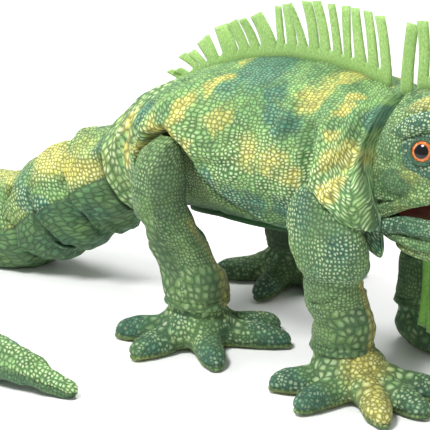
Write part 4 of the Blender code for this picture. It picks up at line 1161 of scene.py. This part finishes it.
def make_jaw():
    rows, cols = count(120), count(180)
    p, share = arch_rows(JAW_TROUGHS, rows, cols, 0, -1)
    inside = HINGE + (0.035, 0, -0.010)
    n = normals_of(p, False, inside)
    out = 0.0006 * noise(p, 0.010, 71) + 0.0004 * noise(p, 0.0045, 72)
    out = out + 0.0010 * np.cos(share * 9.0) * smooth(share, 0.1, 0.3) * smooth(0.95 - share, 0, 0.2)
    p = p + n * out[..., None]
    teal = np.clip(0.45 + 0.35 * noise(p, 0.014, 73), 0, 1) * (1 - 0.4 * smooth(share, 0.5, 0.9))
    yellow = np.clip(0.30 + 0.30 * noise(p, 0.018, 74), 0, 1)
    made = skin("jaw_plush", p, FACE, closed=False, inside=inside, paint=look(p, yellow, teal, 0.05, 0.6))
    place(made, "jaw", "scale_green", "jaw_skin", fill=0.6)
    make_lip("lower_lip_roll", 0, -0.0080, 0.0060, "jaw", "scale_teal", "lower_lip", 0.0, 0.80)
    for sgn, word in SIDES:
        for k, (drop, radius, yel) in enumerate(JOWLS):
            us = np.linspace(0.002 + 0.004 * k, 0.080 - 0.006 * k, 12)
            at, halves, depths = zip(*JAW_TROUGHS)
            half, deep = np.interp(us, at, halves), np.interp(us, at, depths)
            across = half * (1 - drop**ARCH_POWER) ** (1 / ARCH_POWER)
            line = face_points(us, sgn * (across + 0.0014), -(FACE_EDGE + deep * drop + 0.0006), 0)
            path = spline(np.linspace(0, 11, 90), np.arange(12), line)
            taper = np.sqrt(np.clip(1 - np.linspace(-1, 1, 90) ** 4, 0.03, 1))
            roll = tube(f"jowl_fold_{k + 1}_{word}", path, radius * taper, FACE, count(30), wobble=0.0004,
                        paint=lambda q, yel=yel: look(q, yel + 0.2 * noise(q, 0.01, 75), 0.35, 0.0, 0.7))
            nodes = ("jowl_roll_" + word,) if k == 1 else ()
            place(roll, "jaw", "scale_green", *nodes, fill=0.6)


def lining_sheet(name, inset, v, bow, pitch, body, node):
    """Soft lining inside the lips, bowed away from the mouth's middle."""
    us = np.linspace(0.004, 0.0905 - inset, count(60))
    w = np.interp(us, [a[0] for a in LIP_WIDTHS], [a[1] for a in LIP_WIDTHS]) - inset
    w = np.maximum(w, 0.0015)
    across = np.linspace(-1, 1, count(60))[None, :]
    u = us[:, None] + 0 * across
    y = w[:, None] * across
    bowed = v + bow * (1 - across**2) * smooth(us[:, None], 0.0, 0.02)
    bowed = bowed + 0.0006 * noise(np.stack([u, y, 0 * u], -1), 0.009, 81)
    p = face_points(u, y, bowed, pitch)
    made = skin(name, p, LINING, closed=False, inside=HINGE + (0.03, 0, 0.004))
    place(made, body, "mouth_red", node)


def make_mouth():
    lining_sheet("palate_lining", 0.0042, 0.0045, 0.0040, HEAD_PITCH, "head", "palate")
    lining_sheet("floor_lining", 0.0042, -0.0048, -0.0020, 0, "jaw", "mouth_floor")
    turn = np.linspace(-1, 1, count(50))[None, :]
    rise = np.linspace(0, 1, 24)[:, None]
    x = 0.0945 - 0.0030 * (1 - turn**2) - 0.0035 * np.sin(rise * math.pi)
    y = 0.0385 * turn + 0 * rise
    z = 0.1235 + 0.0145 * rise + 0 * turn
    p = np.stack([x + 0 * y, y, z + 0.0005 * noise(np.stack([x + 0 * y, y, z], -1), 0.006, 83)], -1)
    web = skin("mouth_back_lining", p, LINING, closed=False, inside=HINGE + (-0.02, 0, 0.0))
    place(web, ("head", "jaw", (0.092, 0, 0.1365), (0.092, 0, 0.1240)), "mouth_red")
    us = np.linspace(-1, 1, 40)[:, None]
    turn = np.arange(40)[None, :] * TAU / 40
    taper = np.sqrt(np.clip(1 - us**2, 0.002, 1)) ** 0.8
    x = 0.050 + 0.026 * us
    y = 0.0125 * taper * np.cos(turn)
    groove = -0.0006 * bell(y, 0.0015) * (np.sin(turn) > 0)
    z = -0.0036 + 0.0024 * taper * np.sin(turn) + groove
    tongue = skin("tongue_pad", face_points(x + 0 * turn, y, z, 0), TONGUE, capped=True)
    place(tongue, "jaw", "tongue_red", "tongue", fill=0.7)


DEWLAP = (
    (93, 7, 88, 34, 6), (100, 8, 95, 30, 7), (108, 7, 103, 33, 7), (116, 6, 112, 40, 6), (123, 6, 120, 47, 5),
)


def make_dewlap():
    comb = ribbon_comb("dewlap_flap", DEWLAP, lambda x: 0.0955, 0.020, 13, THROAT_FELT, hang=-1)
    declare_comb(comb, "dewlap", ["dewlap"])


# ---------------------------------------------------------------- legs
# Rings from the hip or shoulder down: x, y, z, half length, half width
HIND_LEG = (
    (-0.0655, 0.0720, 0.1560, 0.0060, 0.0050), (-0.0665, 0.0750, 0.1500, 0.0095, 0.0100),
    (-0.0690, 0.0770, 0.1380, 0.0150, 0.0135), (-0.0710, 0.0765, 0.1180, 0.0182, 0.0150),
    (-0.0700, 0.0735, 0.1000, 0.0182, 0.0152), (-0.0675, 0.0680, 0.0860, 0.0188, 0.0168),
    (-0.0650, 0.0600, 0.0700, 0.0212, 0.0184), (-0.0610, 0.0540, 0.0540, 0.0217, 0.0198),
    (-0.0600, 0.0512, 0.0400, 0.0215, 0.0204), (-0.0600, 0.0510, 0.0325, 0.0218, 0.0208),
)
FRONT_LEG = (
    (0.0560, 0.0690, 0.1440, 0.0100, 0.0050), (0.0560, 0.0705, 0.1370, 0.0170, 0.0080),
    (0.0590, 0.0715, 0.1240, 0.0232, 0.0120), (0.0620, 0.0700, 0.1040, 0.0262, 0.0148),
    (0.0620, 0.0650, 0.0900, 0.0222, 0.0165), (0.0610, 0.0620, 0.0800, 0.0194, 0.0170),
    (0.0610, 0.0570, 0.0630, 0.0208, 0.0188), (0.0620, 0.0530, 0.0490, 0.0204, 0.0192),
    (0.0610, 0.0510, 0.0360, 0.0198, 0.0190), (0.0610, 0.0508, 0.0305, 0.0202, 0.0194),
)
# Pleats and creases seen from the side: the knee's overlap and the small darts
HIND_KNEE = (
    (-0.100, 0.083, 0.0015, 0.001, 0.012), (-0.088, 0.090, 0.0028, 0.0018, 0.013),
    (-0.072, 0.103, 0.0028, 0.0018, 0.013), (-0.056, 0.116, 0.0020, 0.0014, 0.012),
    (-0.046, 0.124, 0.0, 0.0, 0.012),
)
FRONT_ELBOW = (
    (0.030, 0.0875, 0.0012, 0.0010, 0.012), (0.045, 0.0850, 0.0022, 0.0014, 0.012),
    (0.064, 0.0835, 0.0022, 0.0014, 0.012), (0.090, 0.0860, 0.0016, 0.0010, 0.012),
)
HIND_DARTS = (
    ((-0.082, 0.120), (-0.070, 0.117), (-0.058, 0.112)), ((-0.064, 0.110), (-0.056, 0.092), (-0.050, 0.078)),
)
FRONT_DARTS = (
    ((0.050, 0.066), (0.064, 0.069), (0.078, 0.076)), ((0.040, 0.110), (0.046, 0.098), (0.049, 0.088)),
)


def make_leg(name, stations, side, splay, pleats, darts, body, nodes, seed):
    """A stuffed sleeve through the rings, leaning out by splay at its foot, with its lower edge turned in."""
    steps = len(stations)
    line = np.array([
        (x + splay[0] * i / (steps - 1), side * (y + splay[1] * i / (steps - 1)), z, a, b)
        for i, (x, y, z, a, b) in enumerate(stations)
    ])
    coarse_rows, coarse_cols = 40, 44
    x, y, z, a, b = spline(np.linspace(0, steps - 1, coarse_rows), np.arange(steps), line).T[:, :, None]
    turn = -side * math.pi / 2 + np.arange(coarse_cols)[None, :] * TAU / coarse_cols
    power = 2 / 2.25
    c, s = np.cos(turn), np.sin(turn)
    p = np.stack([
        x + a * np.sign(c) * np.abs(c) ** power, y + b * np.sign(s) * np.abs(s) ** power, z + 0 * turn,
    ], -1)
    share = np.linspace(0, 1, coarse_rows)[:, None]
    pinned = np.maximum(np.maximum(bell(share, 0.05), bell(share - 1, 0.05)), 0.7 * bell(share - 0.5, 0.04))
    p = inflate(p, pinned, pressure=1.5, grow=0.05, cap=0.0028)
    p = finer(p, count(170), count(150))
    n = normals_of(p)
    move = pleat(p, pleats)
    for dart in darts:
        move = move + crease(p, dart, 0.0016, 0.0016, side)
    hem = stations[-1][2]
    move = move - 0.0009 * bell(p[..., 2] - (hem + 0.0052), 0.0007) + 0.0006 * bell(p[..., 2] - hem, 0.0025)
    move = move + 0.0008 * noise(p * (1, 1, 1.5), 0.012, seed) + 0.0004 * noise(p, 0.005, seed + 1)
    p = p + n * move[..., None]
    middle = p[-1].mean(axis=0)
    turned_in = middle + (p[-1:] - middle) * 0.90 + (0, 0, 0.0022)
    paint_leg(name, np.concatenate([p, turned_in]), side, body, nodes, seed)


def paint_leg(name, p, side, body, nodes, seed):
    """Colour of one leg: teal above the knee, plates down the front, a yellow strip inside, and painted shade
    on the inner side, over the far hind leg and in the front of the hind thigh.
    """
    outward = side * (p[..., 1] - p.mean(axis=1, keepdims=True)[..., 1])
    ahead = p[..., 0] - p.mean(axis=1, keepdims=True)[..., 0]
    z = p[..., 2]
    front = "front" in name
    knee = 0.084 if front else 0.100
    upper = smooth(z, knee - 0.002, knee + 0.002)
    strip = smooth(ahead, 0.010, 0.0145) * smooth(-outward, -0.004, 0.002) * (1 - upper)
    rear = smooth(-ahead, 0.006, 0.018)
    yellow = np.clip(0.95 * strip + 0.45 * rear * (0.6 + 0.6 * noise(p, 0.013, seed + 3)), 0, 1)
    cool = 0.22 if front else 0.08
    teal = np.clip(upper * (cool - cool * rear) + 0.25 + 0.45 * noise(p, 0.016, seed + 4), 0, 1)
    plate = smooth(ahead, 0.000, 0.009) * (1 - upper) * smooth(0.075 - z, 0, 0.02)
    if not front:
        plate = np.maximum(plate, 0.85 * (1 - upper) * smooth(-ahead, -0.012, 0.004))
        yellow = yellow * 0.7
    inner = smooth(-outward, 0.004, 0.012)
    # Darker on the lower leg; painted shade on the inner side that faces the body (less on the far front leg),
    # over the whole far hind leg and in the recess at the front of the hind thigh.
    dark = 0.32 * inner * (0.3 if side > 0 and front else 1.0) + 0.08 * (1 - rear) + 0.26 * (1 - upper)
    dark = dark + (0.35 if side > 0 and not front else 0.0)
    if not front:
        dark = dark + 0.5 * upper * smooth(ahead, 0.004, 0.009)
    dots = 0.42 + 0.45 * rear + 0.35 * upper * smooth(noise(p, 0.020, seed + 6), -0.3, 0.4)
    made = skin(name, p, LEG, paint=look(p, yellow, teal, dark, dots), plate=plate)
    place(made, body, "scale_green", *nodes, fill=0.7)


# ---------------------------------------------------------------- feet
# Where the toes point, in degrees from straight ahead
HIND_TOES = (212, 257, 322, 27, 56)
FRONT_TOES = (216, 258, 319, 351, 26)
HIND_REACH = (1.02, 1.0, 0.98, 1.16, 1.08)
LEFT_HIND_TOES = (-142, -80, -20, 45, 120)
TOE_LENGTH = 0.058
ANKLE_Z = 0.0305
SEAM_Z = 0.0050


def rounded(centre, radii, sides=24, stacks=14):
    t = (np.arange(stacks) + 0.5)[:, None] * math.pi / stacks
    turn = np.arange(sides)[None, :] * TAU / sides
    return np.array(centre) + np.stack([
        radii[0] * np.sin(t) * np.cos(turn), radii[1] * np.sin(t) * np.sin(turn),
        radii[2] * np.cos(t) + 0 * turn,
    ], -1)


def toe_rings(palm, angle, length, wide=1.0):
    a = math.radians(angle)
    out = np.array((math.cos(a), math.sin(a), 0.0))
    across = np.array((-out[1], out[0], 0.0))
    shares = (0.10, 0.24, 0.42, 0.60, 0.75, 0.87, 0.95, 0.985)
    sizes = (0.0105, 0.0096, 0.0096, 0.0098, 0.0088, 0.0071, 0.0050, 0.0026)
    tall = (0.0125, 0.0112, 0.0100, 0.0094, 0.0084, 0.0070, 0.0052, 0.0028)
    share = np.linspace(0, 1, 26)
    at, size, high = (spline(share * 7, np.arange(8), v) for v in (shares, sizes, tall))
    turn = np.arange(24)[None, :] * TAU / 24
    lift = 0.0015 * smooth(at, 0.6, 1.0)
    centre = np.array((palm[0], palm[1], 0.0)) + out * (length * at)[:, None]
    centre[:, 2] = high * 0.92 + lift
    return (
        centre[:, None] + across * (np.cos(turn) * size[:, None] * wide)[..., None]
        + np.array((0, 0, 1.0)) * (np.sin(turn) * high[:, None])[..., None]
    )


def closed_mesh(p):
    """Vertices and faces of a grid with both ends fanned shut."""
    n, m = p.shape[:2]
    verts = np.concatenate([p.reshape(-1, 3), [p[0].mean(axis=0), p[-1].mean(axis=0)]])
    faces = []
    for i in range(n - 1):
        for j in range(m):
            k = (j + 1) % m
            faces.append((i * m + j, i * m + k, (i + 1) * m + k, (i + 1) * m + j))
    for j in range(m):
        k = (j + 1) % m
        faces.append((k, j, n * m))
        faces.append(((n - 1) * m + j, (n - 1) * m + k, n * m + 1))
    return verts, faces


def melted(shapes, voxel, rounds):
    """One skin over several overlapping closed shapes."""
    verts, faces = [], []
    for p in shapes:
        v, f = closed_mesh(p)
        faces += [tuple(i + len(verts) for i in q) for q in f]
        verts += v.tolist()
    mesh = bpy.data.meshes.new("melt")
    mesh.from_pydata(verts, [], faces)
    obj = bpy.data.objects.new("melt", mesh)
    bpy.context.scene.collection.objects.link(obj)
    remesh = obj.modifiers.new("remesh", "REMESH")
    remesh.mode, remesh.voxel_size = "VOXEL", voxel
    soft = obj.modifiers.new("soft", "SMOOTH")
    soft.factor, soft.iterations = 0.5, rounds
    found = obj.evaluated_get(bpy.context.evaluated_depsgraph_get()).to_mesh()
    co = np.empty(len(found.vertices) * 3)
    found.vertices.foreach_get("co", co)
    quads = [tuple(f.vertices) for f in found.polygons]
    normal = np.empty(len(found.vertices) * 3)
    found.vertex_normals.foreach_get("vector", normal)
    bpy.data.objects.remove(obj)
    return co.reshape(-1, 3), quads, normal.reshape(-1, 3)


def make_foot(name, ankle, palm, toes, body, nodes, seed):
    palm, ankle = np.array(palm), np.array(ankle)
    rng = np.random.default_rng(seed)
    reaches = HIND_REACH if "hind_right" in name else rng.uniform(0.98, 1.05, len(toes))
    shapes = [toe_rings(palm, t, TOE_LENGTH * r, 1.06) for t, r in zip(toes, reaches)]
    shapes.append(rounded((palm[0], palm[1], 0.0110), (0.0265, 0.0250, 0.0135)))
    mid = ankle * 0.6 + np.array((palm[0], palm[1], ANKLE_Z)) * 0.4
    shapes.append(rounded((mid[0], mid[1], 0.0165), (0.0255, 0.0245, 0.0180)))
    shapes.append(rounded((ankle[0], ankle[1], ANKLE_Z), (0.0198, 0.0190, 0.0165)))
    for t in toes:
        a = math.radians(t)
        shapes.append(rounded((palm[0] + 0.018 * math.cos(a), palm[1] + 0.018 * math.sin(a), 0.0110),
                              (0.0132, 0.0132, 0.0115)))
    p, faces, n = melted(shapes, 0.00145, 9)
    groove = -0.0012 * bell(p[:, 2] - SEAM_Z, 0.0008) + 0.0005 * bell(p[:, 2] - SEAM_Z + 0.0022, 0.0014)
    flatness = smooth(np.abs(n[:, 2]), 0.75, 0.95)
    move = groove * (1 - flatness) + 0.0007 * noise(p, 0.010, seed) + 0.0003 * noise(p, 0.004, seed + 1)
    centre = np.array((palm[0], palm[1]))
    reach = np.hypot(*(p[:, :2] - centre).T)
    bearing = np.degrees(np.arctan2(p[:, 1] - palm[1], p[:, 0] - palm[0]))
    order = np.sort(np.mod(toes, 360))
    for lo, hi in zip(order, np.append(order[1:], order[0] + 360)):
        if hi - lo < 80:
            gap = np.mod(bearing - (lo + hi) / 2 + 180, 360) - 180
            web = bell(gap * math.pi / 180 * reach, 0.0016) * smooth(n[:, 2], 0.0, 0.5)
            move = move - 0.0014 * web * smooth(reach, 0.010, 0.020) * smooth(0.036 - reach, 0, 0.012)
    p = p + n * move[:, None]
    p[:, 2] = np.maximum(p[:, 2], 0.0)
    below = smooth(SEAM_Z - p[:, 2], -0.0004, 0.0008)
    seam = bell(p[:, 2] - SEAM_Z, 0.0007) * (1 - flatness)
    tip = smooth(reach, 0.028, 0.048)
    yellow = np.clip(0.30 * noise(p, 0.014, seed + 2), 0, 1)
    if "front" in name:
        hot = math.radians(toes[2])
        spot = np.hypot(p[:, 0] - palm[0] - 0.010 * math.cos(hot), p[:, 1] - palm[1] - 0.010 * math.sin(hot))
        lane = np.mod(bearing - toes[2] + 180, 360) - 180
        yellow = np.maximum(yellow, 1.2 * bell(spot, 0.018))
        yellow = np.maximum(yellow, 1.05 * bell(lane, 19) * smooth(reach, 0.014, 0.024))
    yellow = yellow * (1 - below) + 0.45 * below
    teal = np.clip(0.35 + 0.45 * tip + 0.4 * noise(p, 0.013, seed + 5), 0, 1)
    teal = teal * (1 - below) * (1 - 0.9 * yellow)
    # The sole seam is darkened, and the far hind foot is painted darker all over as painted shade.
    dark = 0.55 * seam + (0.40 if "hind_left" in name else 0.0)
    plates = (1 - tip) * smooth(noise(p, 0.018, seed + 7), -0.3, 0.3) * (1 - below)
    values = {"look": look(p, yellow, teal, dark, 0.55 * (1 - below) + 0.15), "plate": plates}
    made = build(name, p, faces, None, values)
    made.data.materials.append(FOOT)
    place(made, body, "scale_teal", *nodes, fill=0.8)


def make_limbs():
    rows = (
        ("hind_right", HIND_LEG, -1, HIND_TOES, (-0.062, -0.048), (0.0, 0.0)),
        ("hind_left", HIND_LEG, 1, LEFT_HIND_TOES, (-0.082, 0.092), (-0.014, 0.036)),
        ("front_right", FRONT_LEG, -1, FRONT_TOES, (0.075, -0.050), (0.0, 0.0)),
        ("front_left", FRONT_LEG, 1, [-t for t in FRONT_TOES], (0.075, 0.050), (0.0, 0.0)),
    )
    for k, (name, stations, side, toes, palm, splay) in enumerate(rows):
        hind = "hind" in name
        make_leg(
            "leg_sleeve_" + name, stations, side, splay, HIND_KNEE if hind else FRONT_ELBOW,
            HIND_DARTS if hind else FRONT_DARTS,
            ("torso", "leg_" + name, (0, 0, stations[0][2]), (0, 0, 0.118)),
            ("upper_leg_" + name, "lower_leg_" + name), 100 + 10 * k,
        )
        x, y = stations[-1][0] + splay[0], side * (stations[-1][1] + splay[1])
        make_foot("foot_pad_" + name, (x, y, ANKLE_Z), palm, toes, "foot_" + name,
                  ("foot_" + name, "sole_" + name), 200 + 10 * k)


# ---------------------------------------------------------------- tail
TAIL_PATH = (
    (-0.1604, 0.0, 0.0951), (-0.187, 0.0, 0.0805), (-0.222, -0.003, 0.060), (-0.256, -0.006, 0.042),
    (-0.294, -0.014, 0.030), (-0.332, -0.036, 0.030), (-0.358, -0.072, 0.030), (-0.362, -0.112, 0.030),
    (-0.340, -0.150, 0.030), (-0.300, -0.173, 0.030), (-0.245, -0.181, 0.030), (-0.185, -0.181, 0.030),
    (-0.127, -0.178, 0.030), (-0.064, -0.172, 0.030),
)
TAIL_LIES_FROM = 0.112
TAIL_RADII = ((0.0, 0.0345), (0.060, 0.0395), (0.150, 0.0350), (0.530, 0.0145), (0.560, 0.0130), (1.0, 0.005))
ROOT_LAP, SEAM_LAP = 0.006, 0.0045  # how far sections reach past their seams
SIDE_SEAM = math.radians(88)  # from the top, round to the seam of the belly strip
TAIL_CUTS = (0.0, 0.107, 0.165, 0.225, 0.290, 0.355, 0.430, 0.510)
TAIL_BODY = "abbccdde"  # the body that each section rides on
TAIL_PINCHES = ((0.034, 0.26, 0.0024), (0.072, 0.12, 0.0024))  # where, how deep, how wide


class Tail:
    def __init__(self):
        p = [np.array(q) for q in TAIL_PATH]
        p = [2 * p[0] - p[1]] + p + [2 * p[-1] - p[-2]]
        dense = []
        for i in range(1, len(p) - 2):
            for k in range(12):
                t = k / 12
                a, b, c, d = p[i - 1: i + 3]
                dense.append(0.5 * (2 * b + (c - a) * t + (2 * a - 5 * b + 4 * c - d) * t**2
                                    + (3 * b - a - 3 * c + d) * t**3))
        dense.append(p[-2])
        self.points = np.array(dense)
        steps = np.linalg.norm(np.diff(self.points, axis=0), axis=1)
        self.along = np.concatenate([[0], np.cumsum(steps)])
        self.length = float(self.along[-1])

    def radius(self, s):
        return np.interp(s, [r[0] for r in TAIL_RADII[:-1]] + [self.length], [r[1] for r in TAIL_RADII])

    def centre(self, s):
        s = np.asarray(s, float)
        xyz = np.stack([np.interp(s, self.along, self.points[:, i]) for i in range(3)], -1)
        beyond = np.minimum(s, 0.0)[..., None] * self.forward(0.001)
        share = np.clip((s - TAIL_LIES_FROM + 0.03) / 0.05, 0, 1)
        xyz[..., 2] = xyz[..., 2] * (1 - share) + 0.95 * self.radius(s) * share
        return xyz - beyond

    def forward(self, s):
        low, high = max(0.0, float(s) - 0.004), min(self.length, float(s) + 0.004)
        a = np.array([np.interp(low, self.along, self.points[:, i]) for i in range(3)])
        b = np.array([np.interp(high, self.along, self.points[:, i]) for i in range(3)])
        return unit(a - b)


def make_tail():
    tail = Tail()
    last = len(TAIL_CUTS) - 1
    for index, start in enumerate(TAIL_CUTS):
        final = index == last
        end = tail.length if final else TAIL_CUTS[index + 1]
        start -= SEAM_LAP if index else ROOT_LAP
        tail_section(tail, index, start, end if final else end + SEAM_LAP, final)


def tail_sizes(tail, index, s, share, cap, final):
    """Radius along one section: gripped at its seams, rounded at its ends, pinched where cords gather it."""
    pinch = 0.78 if index > 0 else 0.86
    grip = 1 - (1 - pinch) * np.abs(2 * share - 1) ** 3.0
    if index == 0:
        grip = np.where(share < 0.5, 1 - 0.05 * np.abs(2 * share - 1) ** 3.0, grip)
    if final:
        grip = 1 - (1 - pinch) * (1 - share) ** 6

    def rounded_end(past, least):
        return np.sqrt(np.clip(1 - np.clip(past, 0, 1) ** 2, least, 1))

    size = tail.radius(s) * grip * rounded_end((cap - share) / cap, 0.02)
    if final:
        size = np.maximum(size * rounded_end((share - 0.93) / 0.07, 0.01), 0.0006)
    else:
        size = size * rounded_end((share - 1 + cap) / cap, 0.02)
    for at, deep, wide in TAIL_PINCHES if index == 0 else ():
        gap = s - at
        lip = np.where(gap < 0, 0.45 * deep * np.exp(gap / 0.012), -0.65 * deep * np.exp(-gap / 0.012))
        size = size * (1 + lip * (1 - bell(gap, 0.001)) - 0.5 * deep * bell(gap, wide))
    return size


def tail_section(tail, index, start, end, final):
    """One stuffed section between two seams, with its gathers and the side seam of its belly strip."""
    rng = np.random.default_rng(300 + index)
    rows, cols = (84 if index == 0 else 46), 60
    share = np.linspace(0, 1, rows)
    s = start + (end - start) * share
    centre = tail.centre(s)
    forward = unit(-np.gradient(centre, axis=0))
    across = unit(np.cross((0, 0, 1.0), forward))
    above = np.cross(forward, across)
    size = tail_sizes(tail, index, s, share, SEAM_LAP / (end - start), final)
    turn = math.pi + np.arange(cols)[None, :] * TAU / cols
    p = (
        centre[:, None] + across[:, None] * (np.sin(turn) * size[:, None])[..., None]
        + above[:, None] * (np.cos(turn) * size[:, None])[..., None]
    )
    ends = np.maximum(bell(share, 0.05), bell(share - 1, 0.05 if not final else 0.03))
    if index == 0:
        ends = np.maximum(ends, 0.8 * sum(bell(s - at, 0.004) for at, _, _ in TAIL_PINCHES))
    p = inflate(p, ends[:, None], pressure=1.8, grow=0.07, cap=0.0040)
    p = finer(p, count(190 if index == 0 else 120), count(170))
    n = normals_of(p)
    share = np.linspace(0, 1, len(p))[:, None]
    turn = math.pi + np.arange(p.shape[1])[None, :] * TAU / p.shape[1]
    gathers = np.zeros(p.shape[:2])
    for k in range(7):
        waves, phase, which = rng.integers(3, 11), rng.uniform(0, TAU), rng.integers(0, 2)
        reach = rng.uniform(0.10, 0.30)
        near = bell(share if which == 0 else share - 1, reach)
        folds = np.cos(waves * turn + phase + 2 * share * waves * 0.25)
        gathers = gathers + rng.uniform(0.7, 1.6) * folds * near
    big = float(tail.radius(start + 0.01)) / 0.035
    slack = 1.4 if index in (1, 2, 3) else 1.0
    under = smooth(-np.cos(turn), 0.2, 0.8) + 0 * share
    if index == 0:
        for at, deep, _ in TAIL_PINCHES:
            near = bell((share - (at - start) / (end - start)) * (end - start), 0.012)
            gathers = gathers + 5 * deep * near * np.cos(11 * turn + 60 * share + 3 * noise(p, 0.03, 390))
    move = 0.00085 * big * slack * gathers + 0.0014 * big * noise(p, 0.018, 310 + index)
    move = move + 0.0006 * noise(p, 0.006, 330 + index) + 0.0012 * big * under * noise(p, 0.009, 350 + index)
    seam_gap = (np.abs(np.mod(turn + math.pi, TAU) - math.pi) - SIDE_SEAM) * tail.radius(s).mean()
    seam = bell(seam_gap, 0.0011) + 0 * share
    move = move - 0.0011 * seam + 0.0006 * bell(seam_gap + 0.003, 0.002)
    p = p + n * move[..., None]
    p[..., 2] = np.maximum(p[..., 2], 0.0)
    paint_tail(index, p, share, seam, seam_gap, final)


def paint_tail(index, p, share, seam, seam_gap, final):
    """Colour of one section: patches above, plates below the side seam, shade where it is gathered."""
    below = smooth(seam_gap, -0.0008, 0.0012) + 0 * share
    along = share * (TAIL_CUTS[1] + ROOT_LAP + SEAM_LAP) - ROOT_LAP
    roll = index + sum((along > at) * 0.37 for at, _, _ in TAIL_PINCHES) * (index == 0)
    where = p + np.stack([0.31 * roll, 0.17 * roll, 0.23 * roll], -1)
    mottled = noise(where, 0.017, 370)
    band = noise(where, 0.026, 371)
    yellow = np.clip((0.42 + 0.75 * band) * (1 - below), 0, 1)
    above = 0.15 + 0.8 * smooth(mottled, 0.05, 0.6)
    teal = np.clip(above * (1 - below) + (0.50 + 0.3 * mottled) * below, 0, 1)
    if index == 0:
        flank = np.exp(-((p[..., 2] - 0.098) / 0.014) ** 2)
        yellow = np.maximum(yellow * 0.6, 0.9 * flank * (1 - below))
        teal = teal * (1 - 0.8 * flank * (1 - below))
    if final:
        yellow, teal = yellow * 0.35, np.clip(teal + 0.15, 0, 1)
    # Painted shadow: dark rings in the notches at both seams of each section and at the cord gathers.
    ring = 0.9 * bell(share, 0.05) * np.ones_like(below)
    if index == 0:
        for at, deep, _ in TAIL_PINCHES:
            ring = np.maximum(ring, min(1, 4 * deep) * bell(along - at - 0.0030, 0.0028))
    dark = 0.42 * below + 0.5 * seam + 0.75 * ring
    rib = 0.8 * below if index < 6 else 0
    made = skin(f"tail_roll_{index + 1}", p, TAIL_SKIN, capped=True, plate=rib,
                paint=look(p, yellow, teal * (1 - 0.6 * yellow), dark, 0.75 * (1 - below) + 0.1))
    place(made, "tail_" + TAIL_BODY[index], "scale_green" if index % 2 == 0 else "scale_teal",
          f"tail_{index + 1}", fill=0.5)


# ---------------------------------------------------------------- stage
CAMERA_AT = (0.68637, -0.98024, 0.50795)
CAMERA_BACK = (0.58396, -0.74277, 0.32754)
SENSOR = 36  # millimetres
FOCAL = SENSOR / 2 / (215 / 1857.1)  # half the picture's width over the lens, both in the photo's pixels
FLOOR_HALF = 6.0


def make_camera():
    data = bpy.data.cameras.new("camera")
    data.sensor_width, data.lens = SENSOR, FOCAL
    data.clip_end = 20
    obj = bpy.data.objects.new("camera", data)
    bpy.context.scene.collection.objects.link(obj)
    back = Vector(CAMERA_BACK).normalized()
    right = Vector((0, 0, 1)).cross(back).normalized()
    matrix = Matrix((right, back.cross(right), back)).transposed().to_4x4()
    matrix.translation = Vector(np.array(CAMERA_AT) + SHIFT)
    obj.matrix_world = matrix
    bpy.context.scene.camera = obj


def area_light(name, at, aim, size, power):
    data = bpy.data.lights.new(name, "AREA")
    data.shape, data.size, data.energy = "DISK", size, power
    obj = bpy.data.objects.new(name, data)
    bpy.context.scene.collection.objects.link(obj)
    obj.location = at
    obj.rotation_euler = (Vector(at) - Vector(aim)).to_track_quat("Z", "Y").to_euler()


def make_stage():
    mesh = bpy.data.meshes.new("floor")
    corners = ((-1, -1), (1, -1), (1, 1), (-1, 1))
    mesh.from_pydata([(FLOOR_HALF * x, FLOOR_HALF * y, 0) for x, y in corners], [], [(0, 1, 2, 3)])
    floor = bpy.data.objects.new("floor", mesh)
    bpy.context.scene.collection.objects.link(floor)
    s = Shader("floor_white", roughness=0.9, specular=0.1)
    mesh.materials.append(s.colour((0.93, 0.925, 0.93, 1)))
    world = bpy.data.worlds.new("studio")
    bpy.context.scene.world = world
    world.use_nodes = True
    sky = world.node_tree.nodes["Background"]
    sky.inputs[0].default_value = (1.0, 1.0, 1.0, 1)
    sky.inputs[1].default_value = 0.48
    area_light("key", (0.10, -1.0, 1.6), (0.05, 0, 0.1), 0.45, 32)
    area_light("fill", (-1.3, -0.6, 1.0), (0, 0, 0.1), 1.0, 9)
    area_light("top", (0.0, 0.5, 1.8), (0, 0, 0.1), 0.9, 24)
    bpy.context.scene.view_settings.view_transform = "Standard"


make_camera()
make_torso()
make_neck()
make_head()
make_jaw()
make_mouth()
make_dewlap()
make_limbs()
make_tail()
make_stage()
bpy.context.view_layer.update()
